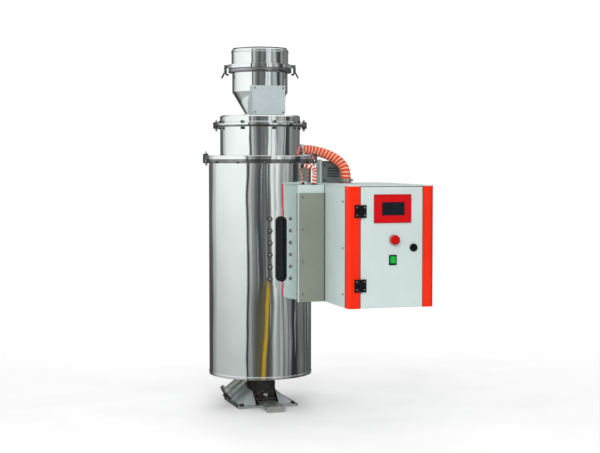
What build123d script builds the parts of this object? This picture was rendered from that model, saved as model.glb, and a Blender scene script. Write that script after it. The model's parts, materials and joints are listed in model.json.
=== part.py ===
"""Hopper dryer: a mirror-polished drying hopper with a vacuum loader on top and a dryer cabinet at its side.

Frame: origin at the middle of the base plate's underside, on the hopper's axis; +Z up; the cabinet door
faces -Y and the cabinet stands on the +X side. Millimetres.
"""
from build123d import *
import math
import os

# Base, gate and drain
PLATE = 262.0  # side of the square base plate
PLATE_T = 10.0
BOLT_PITCH = 224.0  # between the base plate's bolt holes
BOLT_R = 5.5
THROAT_R = 41.0
PLATE_BORE_R = 42.0
HOUSING_W = 100.0  # width of the gate housing
HOUSING_FRONT = -60.0
INSPECTION_X = 38.0  # half width of the cover on the housing's front
INSPECTION_Z = (34.0, 118.0)
INSPECTION_BOLT_X = 31.0
INSPECTION_BOLT_Z = (42.0, 110.0)
TONGUE_W = 80.0
TONGUE_END = -245.0
GATE_Z = 18.0  # underside of the gate blade
GATE_T = 4.0
FLARE_TOP = 62.0
FLARE_FOOT = 118.0  # half width at the base plate
SPOUT_R = 27.0
SPOUT_BORE = 25.0
SPOUT_TILT = 38.0  # degrees below the horizontal
SPOUT_END = (-150.0, 44.0)  # x, z of the middle of the spout's mouth

# Hopper
HOPPER_R = 220.0
HOPPER_Z = (133.0, 1045.0)
SKIN = 1.5
LINER_R = 190.0
LINER_T = 2.0
CONE_TOP = 420.0
OUTLET_R = 45.5
FLANGE_R = 234.0
FLANGE_TOP = 1053.0
COVER_R = 236.0
COVER_Z = (1054.0, 1070.0)
CLAMP_ANGLES = (-17.0, 43.0, 103.0, 163.0)  # from +X
FLANGE_BOLTS = 12
BOLT_FROM = -130.0  # angle of the first flange bolt, from +X

# Sight glass
SIGHT_ANGLE = 7.5  # from -Y towards +X
SIGHT_Z = 681.0
SIGHT_W = 44.0
SIGHT_H = 273.0
SIGHT_PLATE_W = 120.0
SIGHT_PLATE_H = 330.0
SIGHT_SCREWS = 6  # in each of the two rows
SIGHT_SCREW_PITCH = 50.0
SIGHT_SCREW_REACH = 47.0  # along the wall, from the glass to a row
SKIRT_H = 7.0  # of the ring under the main flange

# Hot air: from the heater through the bracket to the diffuser
AIR_PIPE_R = 20.0
AIR_PIPE_Z = 520.0
AIR_PIPE_END = 262.0
HEATER = (276.0, 0.0)
HEATER_R = 30.0
HEATER_Z = (480.0, 860.0)
DIFFUSER_OUTSIDE = [(0, 565), (8, 562), (95, 440), (95, 430)]  # radius, height
DIFFUSER_INSIDE = [(92, 430), (92, 439), (6, 557.5), (0, 560)]

# Neck and its lid
NECK_R = 171.0
NECK_Z = (1058.0, 1198.0)
NECK_FLANGE_R = 192.0
LID_TOP = 1240.0
NECK_CLAMP_ANGLES = (-17.0, 73.0, 163.0)
NECK_BOLTS = 8
NECK_PORT_Z = 1095.0

# Vacuum loader
LOADER_R = 118.5
OUTLET_TUBE_R = 60.0
OUTLET_TUBE_END = 1186.0
LOADER_CONE_TOP = 1340.0
LOADER_FLANGE_Z = (1424.0, 1438.0)
LOADER_FLANGE_R = 132.0
LOADER_LID_R = 121.5
LOADER_LID_Z = (1440.5, 1457.0, 1518.0, 1528.0)  # rim underside, rim top, shoulder, crown
LOADER_RIM_R = 135.0
BOX_X = 70.0
BOX_Y = (-140.0, -60.0)
BOX_Z = (1243.0, 1362.0)
INLET_R = 25.0
INLET_Z = 1385.0
INLET_Y = (126.0, 190.0)  # end of the collar, end of the stub
VACUUM_R = 22.0
VACUUM_Z = 1487.0
VACUUM_Y = (137.0, 178.0)
LATCH_ANGLES = {"latch_left": 163.0, "latch_right": -17.0}
LATCH_PIVOT = (147.0, 1450.0)
LATCH_FOOT = 1414.0
FILTER_R = 50.0
FILTER_Z = 1345.0  # underside of the filter cartridge
GLAND = (-112.0, 1322.0)  # y, z on the loader box's right wall

# Cabinet and bracket
CAB_X = (228.0, 598.0)
CAB_Y = (-508.0, 112.0)
CAB_Z = (452.0, 946.0)
CAP_T = 3.0
POST_FRONT = 50.0
POST_SIDE = 46.0
POST_T = 3.0
CORNER_R = 20.0
WALL = 2.0
FRAME_Y = -490.0  # face that the door's gasket meets
DOOR_X = (280.0, 545.5)
DOOR_Z = (455.0, 943.0)
DOOR_DEPTH = 14.0
HINGE_AXIS = (278.0, -515.0)
HINGE_Z = (545.0, 845.0)
HINGE_H = 52.0
KNUCKLE_R = 6.0
PIN_R = 3.0
RUN = 0.05  # radial running clearance
BRACKET_Y = (-190.0, 100.0)
BRACKET_COVER_X = 118.0
BRACKET_COVER_TOP = 912.0
BRACKET_SCREWS = (132.0, (487.0, 625.0, 760.0, 895.0))  # x, heights
SIDE_SCREWS = (-433.0, (506.0, 694.0, 883.0))  # y, heights
DOORWAY_X = (300.0, 526.0)
DOORWAY_Z = (480.0, 918.0)
LOUVRES = 9
LOUVRE_X = (330.0, 500.0)
LOUVRE_Z = 560.0
LOUVRE_PITCH = 16.0
TOP_BOX_X = (300.0, 403.0)
TOP_BOX_Y = (62.0, 110.0)
TOP_BOX_TOP = 1046.0
SCREW_R = 4.0

# Controls on the door
HMI_X = (336.0, 495.0)
HMI_Z = (798.0, 912.0)
SCREEN_X = (368.0, 466.0)
SCREEN_Z = (828.0, 882.0)
STOP = (422.0, 729.0)
STOP_R = 19.4
STOP_STEM_R = 11.0
ROCKER = (417.0, 647.0)
LOCK = (506.5, 696.0)
LOCK_R = 10.0

# Blower
FAN = (420.0, 565.0)
FAN_R = 88.0
FAN_Y = (-330.0, -250.0)
EYE_R = 38.0  # of the air intake in the fan's front
WHEEL_R = 72.0
BLADES = 18
MOTOR_Y = (-249.0, -120.0)
MOTOR_R = 52.0
CONTROLLER = ((280.0, 400.0), (760.0, 880.0))  # x, z
CONTACTOR_X = (415.0, 465.0, 515.0)
CONTACTOR_Z = (770.0, 850.0)

# Hoses: routes from port to port
LARGE_R = 22.0
SMALL_R = 9.0
NECK_PORT_ANGLE = 12.0
SMALL_PORT_ANGLE = -50.0
LARGE_ROUTE = [
    (185.85, 39.50, 1095.0),
    (225.0, 47.82, 1095.0),
    (274.0, 46.0, 1088.0),
    (328.0, 33.0, 1070.0),
    (373.0, 13.0, 1038.0),
    (390.0, -2.0, 997.0),
    (390.0, -2.0, 953.0),
]
SMALL_ROUTE = [
    (147.84, -176.19, 1026.0),
    (155.17, -184.93, 1026.0),
    (178.0, -186.0, 1022.0),
    (191.5, -175.0, 1006.0),
    (193.3, -163.2, 982.0),
    (193.3, -163.2, 930.0),
]

parts = {}


def block(x, y, z):
    """A box from three (low, high) pairs."""
    size = [high - low for low, high in (x, y, z)]
    middle = [(low + high) / 2 for low, high in (x, y, z)]
    return Pos(*middle) * Box(*size)


def rod(r, z0, z1, x=0, y=0):
    return Pos(x, y, (z0 + z1) / 2) * Cylinder(r, z1 - z0)


def ring(outer, inner, z0, z1, x=0, y=0):
    return rod(outer, z0, z1, x, y) - rod(inner, z0 - 1, z1 + 1, x, y)


def rod_y(r, x, z, y0, y1):
    return Pos(x, (y0 + y1) / 2, z) * Rot(90, 0, 0) * Cylinder(r, y1 - y0)


def rod_x(r, y, z, x0, x1):
    return Pos((x0 + x1) / 2, y, z) * Rot(0, 90, 0) * Cylinder(r, x1 - x0)


def turned(points):
    """A body of revolution about Z from (radius, height) points."""
    outline = Polyline([(r, 0, z) for r, z in points], close=True)
    return revolve(make_face(outline), Axis.Z, 360)


def group(solids):
    return Compound([s for part in solids for s in part.solids()])


def around(angles, part):
    return group([Rot(0, 0, a) * part for a in angles])


def stadium(width, height, y0, y1, z):
    """A rounded upright slot shape, extruded along Y."""
    straight = height - width
    middle = block((-width / 2, width / 2), (y0, y1), (z - straight / 2, z + straight / 2))
    ends = [rod_y(width / 2, 0, z + s * straight / 2, y0, y1) for s in (-1, 1)]
    return middle + ends[0] + ends[1]


# ---------------------------------------------------------------- base


def spout_place(along):
    """The spout's own frame: local Z along the spout and outwards, local X upwards."""
    tilt = math.radians(SPOUT_TILT)
    out = (-math.cos(tilt), 0, -math.sin(tilt))
    up = (-math.sin(tilt), 0, math.cos(tilt))
    x, z = SPOUT_END
    place = Plane(origin=(x + out[0] * along, 0, z + out[2] * along), x_dir=up, z_dir=out)
    return Location(place)


def base():
    half = PLATE / 2
    plate = block((-half, half), (-half, half), (0, PLATE_T))
    plate = fillet(plate.edges().filter_by(Axis.Z), 8)
    plate -= rod(PLATE_BORE_R, -1, PLATE_T + 1)
    for x in (-BOLT_PITCH / 2, BOLT_PITCH / 2):
        for y in (-BOLT_PITCH / 2, BOLT_PITCH / 2):
            plate -= rod(BOLT_R, -1, PLATE_T + 1, x, y)
    parts["base_plate"] = plate

    w = HOUSING_W / 2
    spout_bore = spout_place(-55) * Cylinder(SPOUT_BORE, 130)
    housing = block((-w, w), (HOUSING_FRONT, w), (PLATE_T, HOPPER_Z[0]))
    housing = fillet(housing.edges().filter_by(Axis.Z), 3)
    housing -= rod(THROAT_R, 0, 200)
    housing -= block((-w + 5, w - 5), (HOUSING_FRONT - 1, w - 3), (GATE_Z - 0.3, GATE_Z + GATE_T + 0.3))
    housing -= spout_bore - block((-THROAT_R * 0.6, 200), (-80, 80), (0, 300))
    # a raised inspection cover with bolts on the front face
    housing += block((-INSPECTION_X, INSPECTION_X), (HOUSING_FRONT - 5, HOUSING_FRONT), INSPECTION_Z)
    for x in (-INSPECTION_BOLT_X, INSPECTION_BOLT_X):
        for z in INSPECTION_BOLT_Z:
            housing += rod_y(4.5, x, z, HOUSING_FRONT - 9, HOUSING_FRONT - 4)
    parts["gate_housing"] = housing

    def pyramid(low, high, z0, z1):
        bottom = Pos(0, 0, z0) * Rectangle(2 * low, 2 * low)
        top = Pos(0, 0, z1) * Rectangle(2 * high, 2 * high)
        return loft([bottom, top])

    flare = pyramid(FLARE_FOOT, w + 4, PLATE_T, FLARE_TOP)
    flare -= pyramid(FLARE_FOOT - 3, w + 1, PLATE_T - 0.01, FLARE_TOP + 0.01)
    flare -= block((-w - 1, w + 1), (-140, -w), (0, 100))
    parts["base_flare"] = flare

    tube = spout_place(-60) * Cylinder(SPOUT_R, 120) - spout_place(-60) * Cylinder(SPOUT_BORE, 130)
    collar = spout_place(-5) * Cylinder(SPOUT_R + 3, 10) - spout_place(-5) * Cylinder(SPOUT_R - 1, 12)
    lug = Pos(SPOUT_R + 6, 0, -6) * Box(14, 4, 12)
    lugs = [spout_place(0) * Pos(0, y, 0) * lug for y in (-9, 9)]
    spout = tube + collar + lugs[0] + lugs[1]
    pivot = spout_place(-4) * Pos(SPOUT_R + 8, 0, 0)
    spout -= pivot * Rot(90, 0, 0) * Cylinder(2.5 + RUN, 40)
    spout -= block((-w, 100), (-80, 80), (-10, 300))
    spout -= block((-300, 100), (-80, 80), (HOPPER_Z[0] - 0.3, 300))
    parts["drain_spout"] = spout

    lid = spout_place(2.8) * Cylinder(SPOUT_R + 3, 5)
    knob = spout_place(5) * Pos(0, 0, 6) * Cylinder(9, 12)
    ear = spout_place(0) * Pos(SPOUT_R + 6.5, 0, -0.5) * Box(13, 13, 11.6)
    ear -= spout_place(-5) * Cylinder(SPOUT_R + 4.2, 11)
    pin = pivot * Rot(90, 0, 0) * Cylinder(2.5, 26)
    parts["drain_cap"] = lid + knob + ear + pin

    half = TONGUE_W / 2
    reach = TONGUE_END
    blade = block((-w + 6, w - 6), (HOUSING_FRONT + 2, w - 4), (GATE_Z, GATE_Z + GATE_T))
    tongue = block((-half, half), (reach, HOUSING_FRONT + 3), (GATE_Z, GATE_Z + GATE_T))
    tongue -= Pos(0, reach + 26, GATE_Z) * extrude(SlotOverall(50, 20), 20, both=True)
    lip = block((-half, half), (reach - 4, reach), (4, GATE_Z + GATE_T))
    parts["slide_gate"] = blade + tongue + lip


# ---------------------------------------------------------------- hopper


def hopper():
    z0, z1 = HOPPER_Z
    turn = Rot(0, 0, SIGHT_ANGLE)
    sleeve = turn * stadium(SIGHT_W - 14, SIGHT_H - 14, -240, -170, SIGHT_Z)
    air_hole = rod_x(AIR_PIPE_R, 0, AIR_PIPE_Z, 100, 240)

    shell = ring(HOPPER_R, HOPPER_R - SKIN, z0, z1)
    shell += ring(HOPPER_R - SKIN, OUTLET_R - LINER_T, z0, z0 + 3)
    parts["hopper_shell"] = shell - sleeve - air_hole

    foot = z0 + 3
    liner = turned(
        [
            (OUTLET_R, foot),
            (LINER_R, CONE_TOP),
            (LINER_R, z1),
            (LINER_R - LINER_T, z1),
            (LINER_R - LINER_T, CONE_TOP),
            (OUTLET_R - LINER_T, foot),
        ]
    )
    parts["hopper_liner"] = liner - sleeve - air_hole

    wool = turned(
        [
            (OUTLET_R, foot),
            (HOPPER_R - SKIN, foot),
            (HOPPER_R - SKIN, z1),
            (LINER_R, z1),
            (LINER_R, CONE_TOP),
        ]
    )
    parts["insulation"] = wool - sleeve - air_hole

    flange = ring(FLANGE_R, LINER_R - LINER_T, z1, FLANGE_TOP)
    flange += ring(HOPPER_R + 3, HOPPER_R, z1 - SKIRT_H, z1)
    parts["main_flange"] = flange

    low, high = COVER_Z
    cover = ring(COVER_R, NECK_R - SKIN, FLANGE_TOP, low + 4) + ring(COVER_R, COVER_R - 6, low + 4, high)
    rim = cover.edges().filter_by(GeomType.CIRCLE).group_by(Axis.Z)[-1].sort_by(SortBy.LENGTH)[-1:]
    parts["hopper_cover"] = fillet(rim, 3)

    clamps = around(CLAMP_ANGLES, clamp(COVER_R, z1, high, 11))
    neck_top = NECK_Z[1]
    neck_clamps = around(NECK_CLAMP_ANGLES, clamp(NECK_FLANGE_R, neck_top - 6, neck_top + 7, 9))
    parts["flange_clamps"] = group([clamps, neck_clamps])
    heads = around(bolt_angles(FLANGE_BOLTS), rod(4.5, z1 - 5, z1, FLANGE_R - 6))
    under = rod(4.5, neck_top - 11, neck_top - 6, NECK_FLANGE_R - 10)
    over = rod(4.5, neck_top + 7, neck_top + 12, NECK_FLANGE_R - 10)
    parts["flange_bolts"] = group([heads, around(bolt_angles(NECK_BOLTS), under + over)])

    plate = Rot(0, 0, SIGHT_ANGLE) * (
        stadium(SIGHT_PLATE_W, SIGHT_PLATE_H, -260, -150, SIGHT_Z)
        - stadium(SIGHT_W - 14, SIGHT_H - 14, -261, -149, SIGHT_Z)
    )
    parts["sight_plate"] = plate & ring(HOPPER_R + 2, HOPPER_R, 400, 1000)

    seal = stadium(SIGHT_W, SIGHT_H, -234, -150, SIGHT_Z)
    seal -= stadium(SIGHT_W - 20, SIGHT_H - 20, -235, -149, SIGHT_Z)
    seal -= stadium(SIGHT_W + 2, SIGHT_H + 2, -260, 0, SIGHT_Z) & rod(HOPPER_R + 2, 400, 1000)
    pocket = stadium(SIGHT_W - 14, SIGHT_H - 14, -228, -189, SIGHT_Z) - stadium(
        SIGHT_W - 20, SIGHT_H - 20, -229, -188, SIGHT_Z
    )
    parts["sight_seal"] = turn * (seal + pocket)
    parts["sight_glass"] = turn * stadium(SIGHT_W - 20, SIGHT_H - 20, -226, -220, SIGHT_Z)

    screws = []
    for side in (-1, 1):
        angle = SIGHT_ANGLE + side * math.degrees(SIGHT_SCREW_REACH / HOPPER_R)
        for i in range(SIGHT_SCREWS):
            z = SIGHT_Z + SIGHT_SCREW_PITCH * (i - (SIGHT_SCREWS - 1) / 2)
            screws.append(Rot(0, 0, angle) * rod_y(5, 0, z, -HOPPER_R - 7, -HOPPER_R - 2.2))
    parts["sight_screws"] = group(screws)

    diffuser = turned(DIFFUSER_OUTSIDE + DIFFUSER_INSIDE)
    diffuser -= rod_x(AIR_PIPE_R - 2, 0, AIR_PIPE_Z, 10, 100)
    pipe = rod_x(AIR_PIPE_R, 0, AIR_PIPE_Z, 25, AIR_PIPE_END) - rod_x(AIR_PIPE_R - 2, 0, AIR_PIPE_Z, 0, 300)
    pipe -= turned([(0, DIFFUSER_INSIDE[0][1])] + DIFFUSER_INSIDE)
    parts["air_diffuser"] = diffuser + pipe


def bolt_angles(count):
    return [BOLT_FROM + i * 360 / count for i in range(count)]


def clamp(radius, low, high, width):
    """A C clamp over a pair of flanges, with its screw, at angle 0."""
    body = block((radius - 13, radius + 9), (-width, width), (low - 8, high + 7))
    body -= block((radius - 20, radius + 0.4), (-width - 1, width + 1), (low - 0.3, high + 0.3))
    body = fillet(body.edges().filter_by(Axis.Y).sort_by(Axis.X)[-2:], 4)
    screw = rod(4, high + 7, high + 11, radius - 4) + rod(5, low - 15, low - 8, radius - 4)
    return body + screw


# ---------------------------------------------------------------- neck


def neck():
    low, high = NECK_Z
    bore = Rot(0, 0, NECK_PORT_ANGLE) * rod_x(LARGE_R - 2, 0, NECK_PORT_Z, 140, 200)
    shell = ring(NECK_R, NECK_R - SKIN, low, high) + ring(NECK_FLANGE_R, NECK_R - SKIN, high - 6, high)
    parts["neck_shell"] = shell - bore

    t = SKIN
    lid = turned(
        [
            (NECK_FLANGE_R, high + 1),
            (NECK_FLANGE_R, high + 7),
            (NECK_R + 1, high + 7),
            (NECK_R + 1, LID_TOP - 6),
            (NECK_R - 5, LID_TOP),
            (OUTLET_TUBE_R + 0.3, LID_TOP),
            (OUTLET_TUBE_R + 0.3, LID_TOP - 2 * t),
            (NECK_R - 6, LID_TOP - 2 * t),
            (NECK_R - t, LID_TOP - 7),
            (NECK_R - t, high + 1),
        ]
    )
    parts["neck_lid"] = lid

    # discharge flap under the loader's outlet, hung on the tube's own ears
    z = OUTLET_TUBE_END
    flap = rod(OUTLET_TUBE_R + 3, z - 2.5, z - 0.5)
    arm = block((-OUTLET_TUBE_R - 48, -OUTLET_TUBE_R + 10), (-7, 7), (z - 8.5, z - 2.5))
    knuckle = rod_y(5.5, -OUTLET_TUBE_R - 14, z - 6.5, -7, 7)
    pin = rod_y(2.5, -OUTLET_TUBE_R - 14, z - 6.5, -13, 13)
    weight = rod_y(18, -OUTLET_TUBE_R - 58, z - 6.5, -25, 25)
    parts["discharge_flap"] = flap + arm + knuckle + pin + weight


# ---------------------------------------------------------------- loader


def loader():
    t = SKIN
    z = OUTLET_TUBE_END
    foot = LID_TOP + 5
    cone = turned(
        [
            (OUTLET_TUBE_R, z),
            (OUTLET_TUBE_R, LID_TOP),
            (OUTLET_TUBE_R + 16, LID_TOP),
            (OUTLET_TUBE_R + 16, foot),
            (OUTLET_TUBE_R + 2, foot),
            (LOADER_R, LOADER_CONE_TOP),
            (LOADER_R - 2 * t, LOADER_CONE_TOP),
            (OUTLET_TUBE_R - t, foot),
            (OUTLET_TUBE_R - t, z),
        ]
    )
    for y in (-10, 10):
        ear = block((-OUTLET_TUBE_R - 20, -OUTLET_TUBE_R + 4), (y - 2, y + 2), (z - 11, z + 14))
        ear -= rod(OUTLET_TUBE_R + 5.6, z - 20, z + 0.4)
        ear -= rod(OUTLET_TUBE_R - t, z - 20, z + 20)
        cone += ear
    cone -= rod_y(2.5 + RUN, -OUTLET_TUBE_R - 14, z - 6.5, -20, 20)
    parts["loader_cone"] = cone

    low, high = LOADER_FLANGE_Z
    body = ring(LOADER_R, LOADER_R - t, LOADER_CONE_TOP, high)
    body += ring(LOADER_FLANGE_R, LOADER_R - t, low, high)
    y0, y1 = INLET_Y
    inlet = rod_y(INLET_R, 0, INLET_Z, 100, y1) + rod_y(INLET_R + 3, 0, INLET_Z, 100, y0)
    inlet -= rod(LOADER_R - 0.5, 1300, 1500)
    parts["loader_body"] = body + inlet - rod_y(INLET_R - t, 0, INLET_Z, 100, y1 + 5)

    cartridge = rod(FILTER_R, FILTER_Z, high) - rod(FILTER_R - 4, FILTER_Z + 4, high + 5)
    cartridge += ring(126, FILTER_R - 4, high, high + 2)
    parts["filter_cartridge"] = cartridge

    rim, top, shoulder, crown = LOADER_LID_Z
    inner = LOADER_LID_R - t
    lid = turned(
        [
            (LOADER_RIM_R, rim),
            (LOADER_RIM_R, top),
            (LOADER_LID_R, top),
            (LOADER_LID_R, shoulder),
            (LOADER_LID_R - 4, shoulder + 4),
            (60, crown - 1.5),
            (0, crown),
            (0, crown - t),
            (60, crown - 1.5 - t),
            (LOADER_LID_R - 5, shoulder + 4 - t),
            (inner, shoulder - 1),
            (inner, rim),
        ]
    )
    y0, y1 = VACUUM_Y
    port = rod_y(VACUUM_R, 0, VACUUM_Z, 110, y1) + rod_y(VACUUM_R + 3, 0, VACUUM_Z, 110, y0)
    port -= rod(inner + 1, 1400, 1600)
    lid = lid + port - rod_y(VACUUM_R - t, 0, VACUUM_Z, 100, y1 + 5)
    px, pz = LATCH_PIVOT
    for angle in LATCH_ANGLES.values():
        for y in (-11.5, 11.5):
            ear = block((LOADER_RIM_R - 2, px + 6), (y - 1.5, y + 1.5), (pz - 6, pz + 6))
            ear -= rod_y(PIN_R + RUN, px, pz, -20, 20)
            lid += Rot(0, 0, angle) * (ear - rod(LOADER_RIM_R - 1, 1400, 1600))
    parts["loader_lid"] = lid

    for name, angle in LATCH_ANGLES.items():
        hub = rod_y(5.5, px, pz, -9, 9)
        strap = block((px - 5, px), (-9, 9), (LATCH_FOOT, pz))
        claw = block((LOADER_FLANGE_R + 1.2, px - 4), (-9, 9), (LATCH_FOOT, LATCH_FOOT + 5))
        lever = block((px, px + 7), (-9, 9), (LATCH_FOOT + 6, LATCH_FOOT + 30))
        grip = Pos(px + 11, 0, LATCH_FOOT - 2) * Rot(0, -28, 0) * Box(6, 22, 26)
        pin = rod_y(PIN_R, px, pz, -14, 14)
        parts[name] = Rot(0, 0, angle) * (hub + strap + claw + lever + grip + pin)

    keep_out = rod(LOADER_R + 0.3, LOADER_CONE_TOP, 1500)
    slope = turned(
        [
            (0, LID_TOP),
            (OUTLET_TUBE_R + 17, LID_TOP),
            (OUTLET_TUBE_R + 17, foot + 0.3),
            (OUTLET_TUBE_R + 2.8, foot + 0.3),
            (LOADER_R + 0.3, LOADER_CONE_TOP),
            (0, LOADER_CONE_TOP),
        ]
    )
    (y0, y1), (z0, z1) = BOX_Y, BOX_Z
    box = block((-BOX_X, BOX_X), (y0, y1), (z0, z1))
    box -= block((-BOX_X + t, BOX_X - t), (y0 - 1, y1 + 1), (z0 + t, z1 - t))
    box = box - keep_out - slope
    gland = rod_x(6, *GLAND, BOX_X, BOX_X + 5) + rod_x(4.5, *GLAND, BOX_X, BOX_X + 12)
    parts["loader_box"] = box + gland
    front = block((-BOX_X - 1, BOX_X + 1), (y0 - 3, y0), (z0 - 1, z1 + 1))
    for x in (-BOX_X + 9, BOX_X - 9):
        for z in (z0 + 9, z1 - 9):
            front += rod_y(3.5, x, z, y0 - 5, y0 - 2)
    parts["loader_box_cover"] = front


# ---------------------------------------------------------------- bracket and cabinet


def rounded(x, y, z, r):
    body = block(x, y, z)
    return fillet(body.edges().filter_by(Axis.Z), r)


def screw_head(x, y, z, direction):
    """A pan head, 3 mm high, standing out along -X or -Y from its face."""
    if direction == "-y":
        return rod_y(SCREW_R, x, z, y - 3, y)
    return rod_x(SCREW_R, y, z, x - 3, x)


def bracket():
    y0, y1 = BRACKET_Y
    z0, z1 = CAB_Z
    x1 = CAB_X[0]
    frame = block((40, x1), (y0, y1), (z0, z1))
    frame -= block((30, x1 + 1), (y0 + WALL, y1 - WALL), (z0 + WALL, z1 - WALL))
    frame -= rod(HOPPER_R, 300, 1100)
    bore = rod(SMALL_R + 1, z1 - 5, z1 + 5, *SMALL_ROUTE[-1][:2])
    parts["bracket_frame"] = frame - bore
    left = BRACKET_COVER_X
    height = (z0 + 1, BRACKET_COVER_TOP)
    cover = block((left, x1), (y0 - 6, y0 - 4), height)
    cover += block((left, left + 2), (y0 - 6, y0), height)
    cover += block((x1 - 2, x1), (y0 - 6, y0), height)
    parts["bracket_cover"] = cover
    low, high = HEATER_Z
    heater = rod(HEATER_R, low, high, *HEATER) - rod(HEATER_R - 3, low + 3, high - 3, *HEATER)
    parts["heater_tube"] = heater - rod_x(AIR_PIPE_R, 0, AIR_PIPE_Z, 200, HEATER[0])


def corner_post(x_sign, y_sign):
    """An L-shaped post, the same profile turned into each corner."""
    x0, x1 = CAB_X
    y0, y1 = CAB_Y
    z = CAB_Z
    outer = rounded(CAB_X, CAB_Y, z, CORNER_R)
    inner_x = (x0 + POST_T, x1 - POST_T)
    inner_y = (y0 + POST_T, y1 - POST_T)
    tube = outer - rounded(inner_x, inner_y, (z[0] - 1, z[1] + 1), CORNER_R - POST_T)
    keep_x = (x0, x0 + POST_FRONT) if x_sign < 0 else (x1 - POST_FRONT, x1)
    keep_y = (y0, y0 + POST_SIDE) if y_sign < 0 else (y1 - POST_SIDE, y1)
    return tube & block(keep_x, keep_y, z)


def cabinet():
    x0, x1 = CAB_X
    y0, y1 = CAB_Y
    z0, z1 = CAB_Z
    parts["corner_posts"] = group([corner_post(sx, sy) for sx in (-1, 1) for sy in (-1, 1)])

    ox = (x0 + POST_T, x1 - POST_T)
    oy = (FRAME_Y, y1 - POST_T)
    shell = block(ox, oy, (z0, z1))
    shell -= block((ox[0] + WALL, ox[1] - WALL), (oy[0] - 1, oy[1] + 1), (z0 + WALL, z1 - WALL))
    rounding = rounded(ox, (y0, y1 - POST_T), (z0 - 1, z1 + 1), CORNER_R - POST_T)
    lip = block(ox, (FRAME_Y, FRAME_Y + WALL), (z0, z1))
    lip -= block(DOORWAY_X, (FRAME_Y - 1, FRAME_Y + 5), DOORWAY_Z)
    shell = (shell + lip) & rounding
    shell -= rod_x(AIR_PIPE_R, 0, AIR_PIPE_Z, x0 - 1, x0 + 10)
    cap = rounded(CAB_X, CAB_Y, (z1, z1 + CAP_T), CORNER_R)
    shell += cap
    px, py = LARGE_ROUTE[-1][:2]
    shell -= rod(LARGE_R - 1, z1 - 10, z1 + 10, px, py)
    parts["cabinet_shell"] = shell

    across = (ox[0] + WALL + 0.2, ox[1] - WALL - 0.2)
    back = block(across, (y1 - POST_T - WALL, y1 - POST_T), (z0 + 3, z1 - 3))
    back = back - corner_post(-1, 1) - corner_post(1, 1)
    back -= block((ox[0], ox[0] + 20), (y1 - 12, y1), (z0, z1))
    back -= block((ox[1] - 20, ox[1]), (y1 - 12, y1), (z0, z1))
    for i in range(LOUVRES):
        z = LOUVRE_Z + LOUVRE_PITCH * i
        back -= block(LOUVRE_X, (y1 - 12, y1 + 2), (z, z + 6))
    parts["rear_panel"] = back

    x, heights = BRACKET_SCREWS
    heads = [screw_head(x, BRACKET_Y[0] - 6, z, "-y") for z in heights]
    y, heights = SIDE_SCREWS
    heads += [screw_head(x0 + POST_T, y, z, "-x") for z in heights]
    parts["panel_screws"] = group(heads)

    box = block(TOP_BOX_X, TOP_BOX_Y, (z1 + CAP_T, TOP_BOX_TOP))
    parts["top_box"] = fillet(box.edges().filter_by(Axis.Z), 3)


def hinges():
    ax, ay = HINGE_AXIS
    face = CAB_Y[0]
    fixed = []
    moving = []
    third = HINGE_H / 3
    for z in HINGE_Z:
        low, high = z - HINGE_H / 2, z + HINGE_H / 2
        leaf = block((ax - 25, ax - 6.5), (face - 4, face), (low, high))
        leaf += block((ax - 8, ax), (face - 4, face), (low + third + 0.3, high - third - 0.3))
        leaf += rod(KNUCKLE_R, low + third + 0.3, high - third - 0.3, ax, ay)
        leaf += rod(PIN_R, low, high, ax, ay)
        door = block((ax + 6.5, ax + 25), (face - 4, face), (low, high))
        for a, b in ((low, low + third), (high - third, high)):
            door += block((ax + 2.5, ax + 8), (face - 4, face), (a, b))
            door += rod(KNUCKLE_R, a, b, ax, ay)
        door -= rod(PIN_R + RUN, low - 1, high + 1, ax, ay)
        for dz in (-16, 16):
            leaf += rod_y(SCREW_R, ax - 16, z + dz, face - 6, face - 3)
            door += rod_y(SCREW_R, ax + 16, z + dz, face - 6, face - 3)
        fixed.append(leaf)
        moving.append(door)
    parts["hinge_frame_leaves"] = group(fixed)
    parts["hinge_door_leaves"] = group(moving)


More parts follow.
